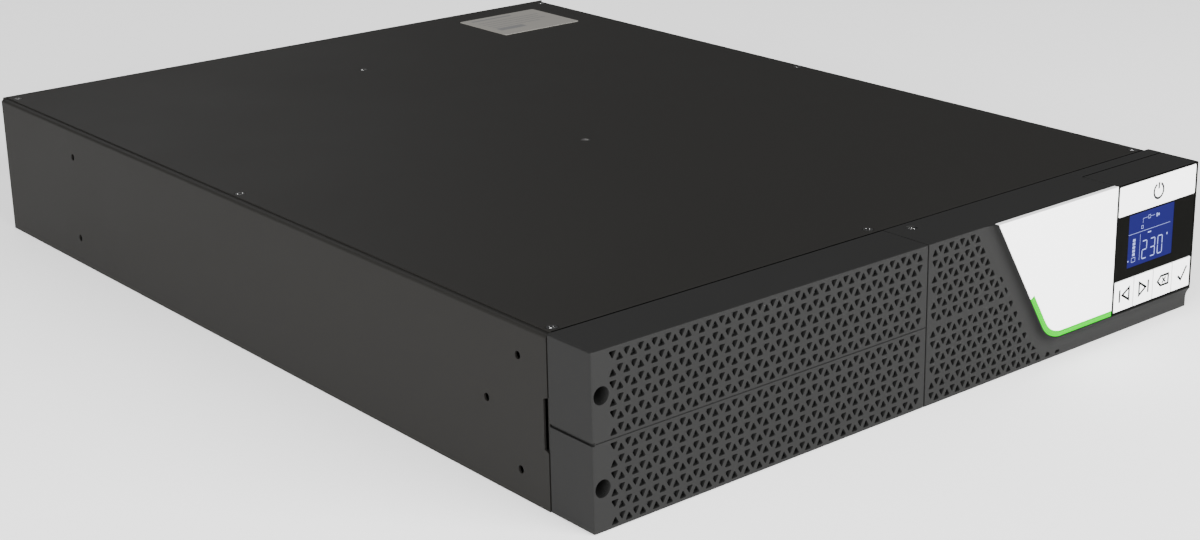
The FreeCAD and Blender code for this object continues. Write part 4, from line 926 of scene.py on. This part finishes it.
def digit(shape, figure, centre, y):
    """Seven-bar figure with mitred bar ends."""
    width, height, line, gap = 4.7, 11.0, 0.66, 0.12
    x0, x1 = centre[0] - width / 2 + line / 2, centre[0] + width / 2 - line / 2
    z0, z2 = centre[1] - height / 2 + line / 2, centre[1] + height / 2 - line / 2
    z1 = (z0 + z2) / 2
    ends = {
        "a": ((x0, z2), (x1, z2)), "b": ((x1, z2), (x1, z1)), "c": ((x1, z1), (x1, z0)),
        "d": ((x0, z0), (x1, z0)), "e": ((x0, z1), (x0, z0)), "f": ((x0, z2), (x0, z1)),
        "g": ((x0, z1), (x1, z1)),
    }
    for letter in DIGIT_BARS[figure]:
        first, second = Vector(ends[letter][0]), Vector(ends[letter][1])
        way = (second - first).normalized()
        side = Vector((-way[1], way[0])) * line / 2
        first, second = first + way * gap, second - way * gap
        tip = way * line / 2
        loop = [first, first + tip - side, second - tip - side, second, second - tip + side,
                first + tip + side]
        shape.face(shape.add(at_y([tuple(p) for p in loop], y)))


def bar(shape, u, v, wide, tall, y):
    """Small filled block centred on a point of the display."""
    x, z = on_display(u, v)
    patch(shape, x - wide / 2, x + wide / 2, z - tall / 2, z + tall / 2, y)


def figures(shape):
    """What the display shows: a flow of power, a battery gauge and a voltage."""
    y = LENS_LOW[1] + FIGURES_BEHIND
    for ends in (((0.0, 0.37), (0.93, 0.37)), ((0.267, 0.416), (0.267, 0.914)),
                 ((0.31, 0.22), (0.31, 0.13)), ((0.31, 0.13), (0.42, 0.13)),
                 ((0.48, 0.13), (0.57, 0.13))):
        stroke(shape, [on_display(u, v) for u, v in ends], FLOW_LINE, y)
    for n in range(5):
        bar(shape, 0.134, 0.498 + 0.068 * n, 2.3, 1.55, y)
    gauge_end = [on_display(u, v) for u, v in corners(0.094, 0.174, 0.83, 0.91)]
    stroke(shape, gauge_end, BOX_LINE, y, closed=True)
    bar(shape, 0.02, 0.87, 0.9, 0.9, y)
    bar(shape, 0.873, 0.577, 0.9, 1.3, y)
    for u, v, wide, tall in ((0.30, 0.29, 1.6, 1.6), (0.45, 0.13, 1.9, 1.9)):
        x, z = on_display(u, v)
        loop = corners(x - wide / 2, x + wide / 2, z - tall / 2, z + tall / 2)
        stroke(shape, loop, BOX_LINE, y, closed=True)
    bar(shape, 0.618, 0.145, 1.0, 2.2, y)
    bar(shape, 0.658, 0.145, 1.2, 1.4, y)
    bar(shape, 0.468, 0.43, 3.0, 0.8, y)
    for figure, u in (("2", 0.373), ("3", 0.554), ("0", 0.72)):
        digit(shape, figure, on_display(u, 0.74), y)


# ------------------------------ cover, screws and label
COVER_EDGE = 0.35
COVER_HOLE = 3.0
# size of the strips of painted shadow in the seams
SHADOW_STRIP_DEPTH = 1.6
SHADOW_STRIP_THICK = 0.65
HEAD_RADIUS = 2.7
SHANK_RADIUS = 1.45
SHANK_LENGTH = 6.0
LABEL_CUT = 4  # how much shorter the label is than its CAD node
LABEL_CORNER = 2.0


def cover():
    """Sheet cover with worn edges and a hole for every screw."""
    low, high = span("top_cover")
    top, y0 = TOP - COVER_DROP, low[1] + COVER_BACK
    rim = corners(low[0], high[0], y0, high[1])
    shape = Shape()
    loops = [at_z(rim, low[2])]
    loops += [at_z(pulled(rim, inset), top - depth)
              for inset, depth in edge_profile(COVER_EDGE)[::-1]]
    shape.loft(loops, False, False)
    holes = [ring_hole(centre, COVER_HOLE, None) for centre, _ in screw_places() if centre[1] > y0]
    flat = pulled(rim, COVER_EDGE)
    perforated(shape, flat, holes, from_above(top), top - low[2])
    shape.bridge(shape.add(at_z(rim, low[2])), shape.add(at_z(flat, low[2])))
    obj = shape.make("cover_sheet", "chassis", MATERIALS["black_steel"])
    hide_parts("top_cover")


def seam_shadow_strips():
    """Thin black strips in the joints behind the two front halves and the display module: painted
    shadow in the seams.
    """
    cover_low, cover_high = span("top_cover")
    x0, x1 = cover_low[0] + 0.3, cover_high[0] - 0.3
    y = HOUSING_HIGH[1] + BAY_GAP
    for name, left, right, near, far, top in (
            ("cover_seam_shadow", x0, x1, BEZEL_HIGH[1] + 0.03, cover_low[1] + COVER_BACK, TOP - 0.12),
            ("bay_seam_shadow", HOUSING_LOW[0] + 0.4, BEZEL_HIGH[0] - 0.3, y - SHADOW_STRIP_THICK, y, TOP - 0.02)):
        shape = Shape()
        slab(shape, (left, top - SHADOW_STRIP_DEPTH), (right, top), near, far, 0.1, 0.05)
        obj = shape.make(name, "chassis", MATERIALS["seam_shadow_black"])


def screw_places():
    """Centre and height of every screw in the CAD node, whose points lie in clusters."""
    apart = 6  # more than a head's width, much less than the screws' spacing
    places = []
    for vertex in frame["nodes"]["cover_screws"].data.vertices:
        x, y, z = vertex.co / MM
        for place in places:
            if abs(place[0] - x) < apart and abs(place[1] - y) < apart:
                place[2].append((x, y, z))
                break
        else:
            places.append((x, y, [(x, y, z)]))
    found = []
    for _, _, points in places:
        xs, ys, zs = zip(*points)
        found.append((((min(xs) + max(xs)) / 2, (min(ys) + max(ys)) / 2), max(zs)))
    return found


def screws():
    """Countersunk heads with a bright cross recess."""
    shape = Shape()
    arm, half, deep = 1.55, 0.42, 0.75
    for n, (centre, height) in enumerate(screw_places()):
        top = min(height, TOP - 0.12)
        turn = Matrix.Rotation(0.9 * n + 0.3, 2)
        points = []
        for quarter in range(4):
            spin = Matrix.Rotation(quarter * math.pi / 2, 2)
            points += [spin @ Vector(p) for p in ((half, half), (arm, half), (arm, -half))]
        cross = [tuple(Vector(centre) + turn @ p) for p in points[::-1]]
        if area(cross) < 0:
            cross = cross[::-1]
        recess = (cross, pulled(cross, 0.12), deep)
        perforated(shape, circle(centre, HEAD_RADIUS, 24), [recess], from_above(top), 1.0, 1)
        rings = [at_z(circle(centre, radius, 24), top - depth)
                 for radius, depth in ((HEAD_RADIUS, 0), (HEAD_RADIUS + 0.1, 0.1),
                                       (SHANK_RADIUS, 1.0), (SHANK_RADIUS, SHANK_LENGTH))]
        shape.loft(rings, False, True)
    obj = shape.make("cover_screw_heads", "chassis", MATERIALS["screw_steel"],
                     MATERIALS["bright_recess"])
    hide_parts("cover_screws")


def label():
    """Pale film on the cover with plain grey bars instead of words."""
    low, high = span("rating_label")
    x0, x1, y0, y1 = low[0] + LABEL_CUT, high[0], low[1], high[1]
    shape = Shape()
    top = high[2] - 0.03
    loop = rounded((x0, y0), (x1, y1), LABEL_CORNER)
    shape.loft([at_z(loop, TOP - 0.15), at_z(loop, top)])
    obj = shape.make("cover_label", "chassis", MATERIALS["label_paper"])
    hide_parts("rating_label")

    def bars(figure):
        margin = 0.10
        rows = ((0.86, 0.62, 2.6), (0.72, 0.90, 1.2), (0.62, 0.84, 1.2),
                (0.52, 0.88, 1.2), (0.42, 0.74, 1.2), (0.24, 0.44, 7.0))
        for v, end, tall in rows:
            y = y0 + v * (y1 - y0)
            left, right = x0 + margin * (x1 - x0), x0 + end * (x1 - x0)
            figure.face(figure.add(at_z(corners(left, right, y, y + tall), top + 0.02)))
    mark("label_bars", "chassis", "label_ink", bars)


door()
bezel()
cover()
seam_shadow_strips()
screws()
plate()
housing()
lens()
keys()
label()

# ------------------------------ stage, light and camera


def floor():
    """Large pale sheet that the unit stands on."""
    reach = 7.0
    mesh = bpy.data.meshes.new("floor")
    mesh.from_pydata(at_z(corners(-reach, reach, -reach, reach), 0), [], [(0, 1, 2, 3)])
    mesh.materials.append(finish("pale_floor", (0.90, 0.90, 0.90), 0.9, 3.0, 0.02, 0.005, edge_mm=0,
                                 specular=0.1, glow=(1, 1, 1), glow_strength=0.5))
    obj = bpy.data.objects.new("floor", mesh)
    obj.location.z = -0.0004
    bpy.context.scene.collection.objects.link(obj)


def softbox(name, place, aim, width, height, watts):
    """Rectangular area light that looks at a point."""
    data = bpy.data.lights.new(name, "AREA")
    data.shape = "RECTANGLE"
    data.size, data.size_y = width, height
    data.energy = watts
    lamp = bpy.data.objects.new(name, data)
    lamp.location = place
    direction = Vector(aim) - Vector(place)
    lamp.rotation_euler = direction.to_track_quat("-Z", "Y").to_euler()
    bpy.context.scene.collection.objects.link(lamp)


WORLD_STRENGTH = 0.32
MIDDLE = (0, 0, 0)


def studio():
    """White surroundings, a large light in front, one on the left and a weak one behind."""
    world = bpy.data.worlds.new("studio")
    world.use_nodes = True
    world.node_tree.nodes["Background"].inputs["Color"].default_value = (1, 1, 1, 1)
    world.node_tree.nodes["Background"].inputs["Strength"].default_value = WORLD_STRENGTH
    bpy.context.scene.world = world
    softbox("front_box", (0.35, -2.4, 0.8), MIDDLE, 2.2, 1.4, 218)
    softbox("rear_box", (0.3, 2.2, 1.6), MIDDLE, 1.8, 1.2, 13)
    softbox("left_box", (-2.4, -1.1, 0.8), MIDDLE, 1.8, 1.2, 170)


CAMERA_PLACE = (-0.748, -0.9631, 0.4223)
CAMERA_YAW = math.radians(-40.66)
CAMERA_PITCH = math.radians(17.66)
CAMERA_ROLL = math.radians(-0.61)
CAMERA_LENS = 62.6
CAMERA_SHIFT = -0.05  # both ways, for an off-centre framing


def camera():
    """Camera at the height and distance of someone looking down at the unit's front corner."""
    data = bpy.data.cameras.new("camera")
    data.lens = CAMERA_LENS
    data.sensor_width = 36.0
    data.shift_x = CAMERA_SHIFT
    data.shift_y = CAMERA_SHIFT
    data.clip_start = 0.01
    forward = Vector((-math.sin(CAMERA_YAW) * math.cos(CAMERA_PITCH),
                      math.cos(CAMERA_YAW) * math.cos(CAMERA_PITCH), -math.sin(CAMERA_PITCH)))
    right = Vector((math.cos(CAMERA_YAW), math.sin(CAMERA_YAW), 0))
    up = right.cross(forward)
    turned_right = right * math.cos(CAMERA_ROLL) + up * math.sin(CAMERA_ROLL)
    turned_up = up * math.cos(CAMERA_ROLL) - right * math.sin(CAMERA_ROLL)
    obj = bpy.data.objects.new("camera", data)
    obj.matrix_world = Matrix.Translation(CAMERA_PLACE) @ Matrix(
        (turned_right, turned_up, -forward)).transposed().to_4x4()
    bpy.context.scene.collection.objects.link(obj)
    bpy.context.scene.camera = obj


floor()
studio()
camera()
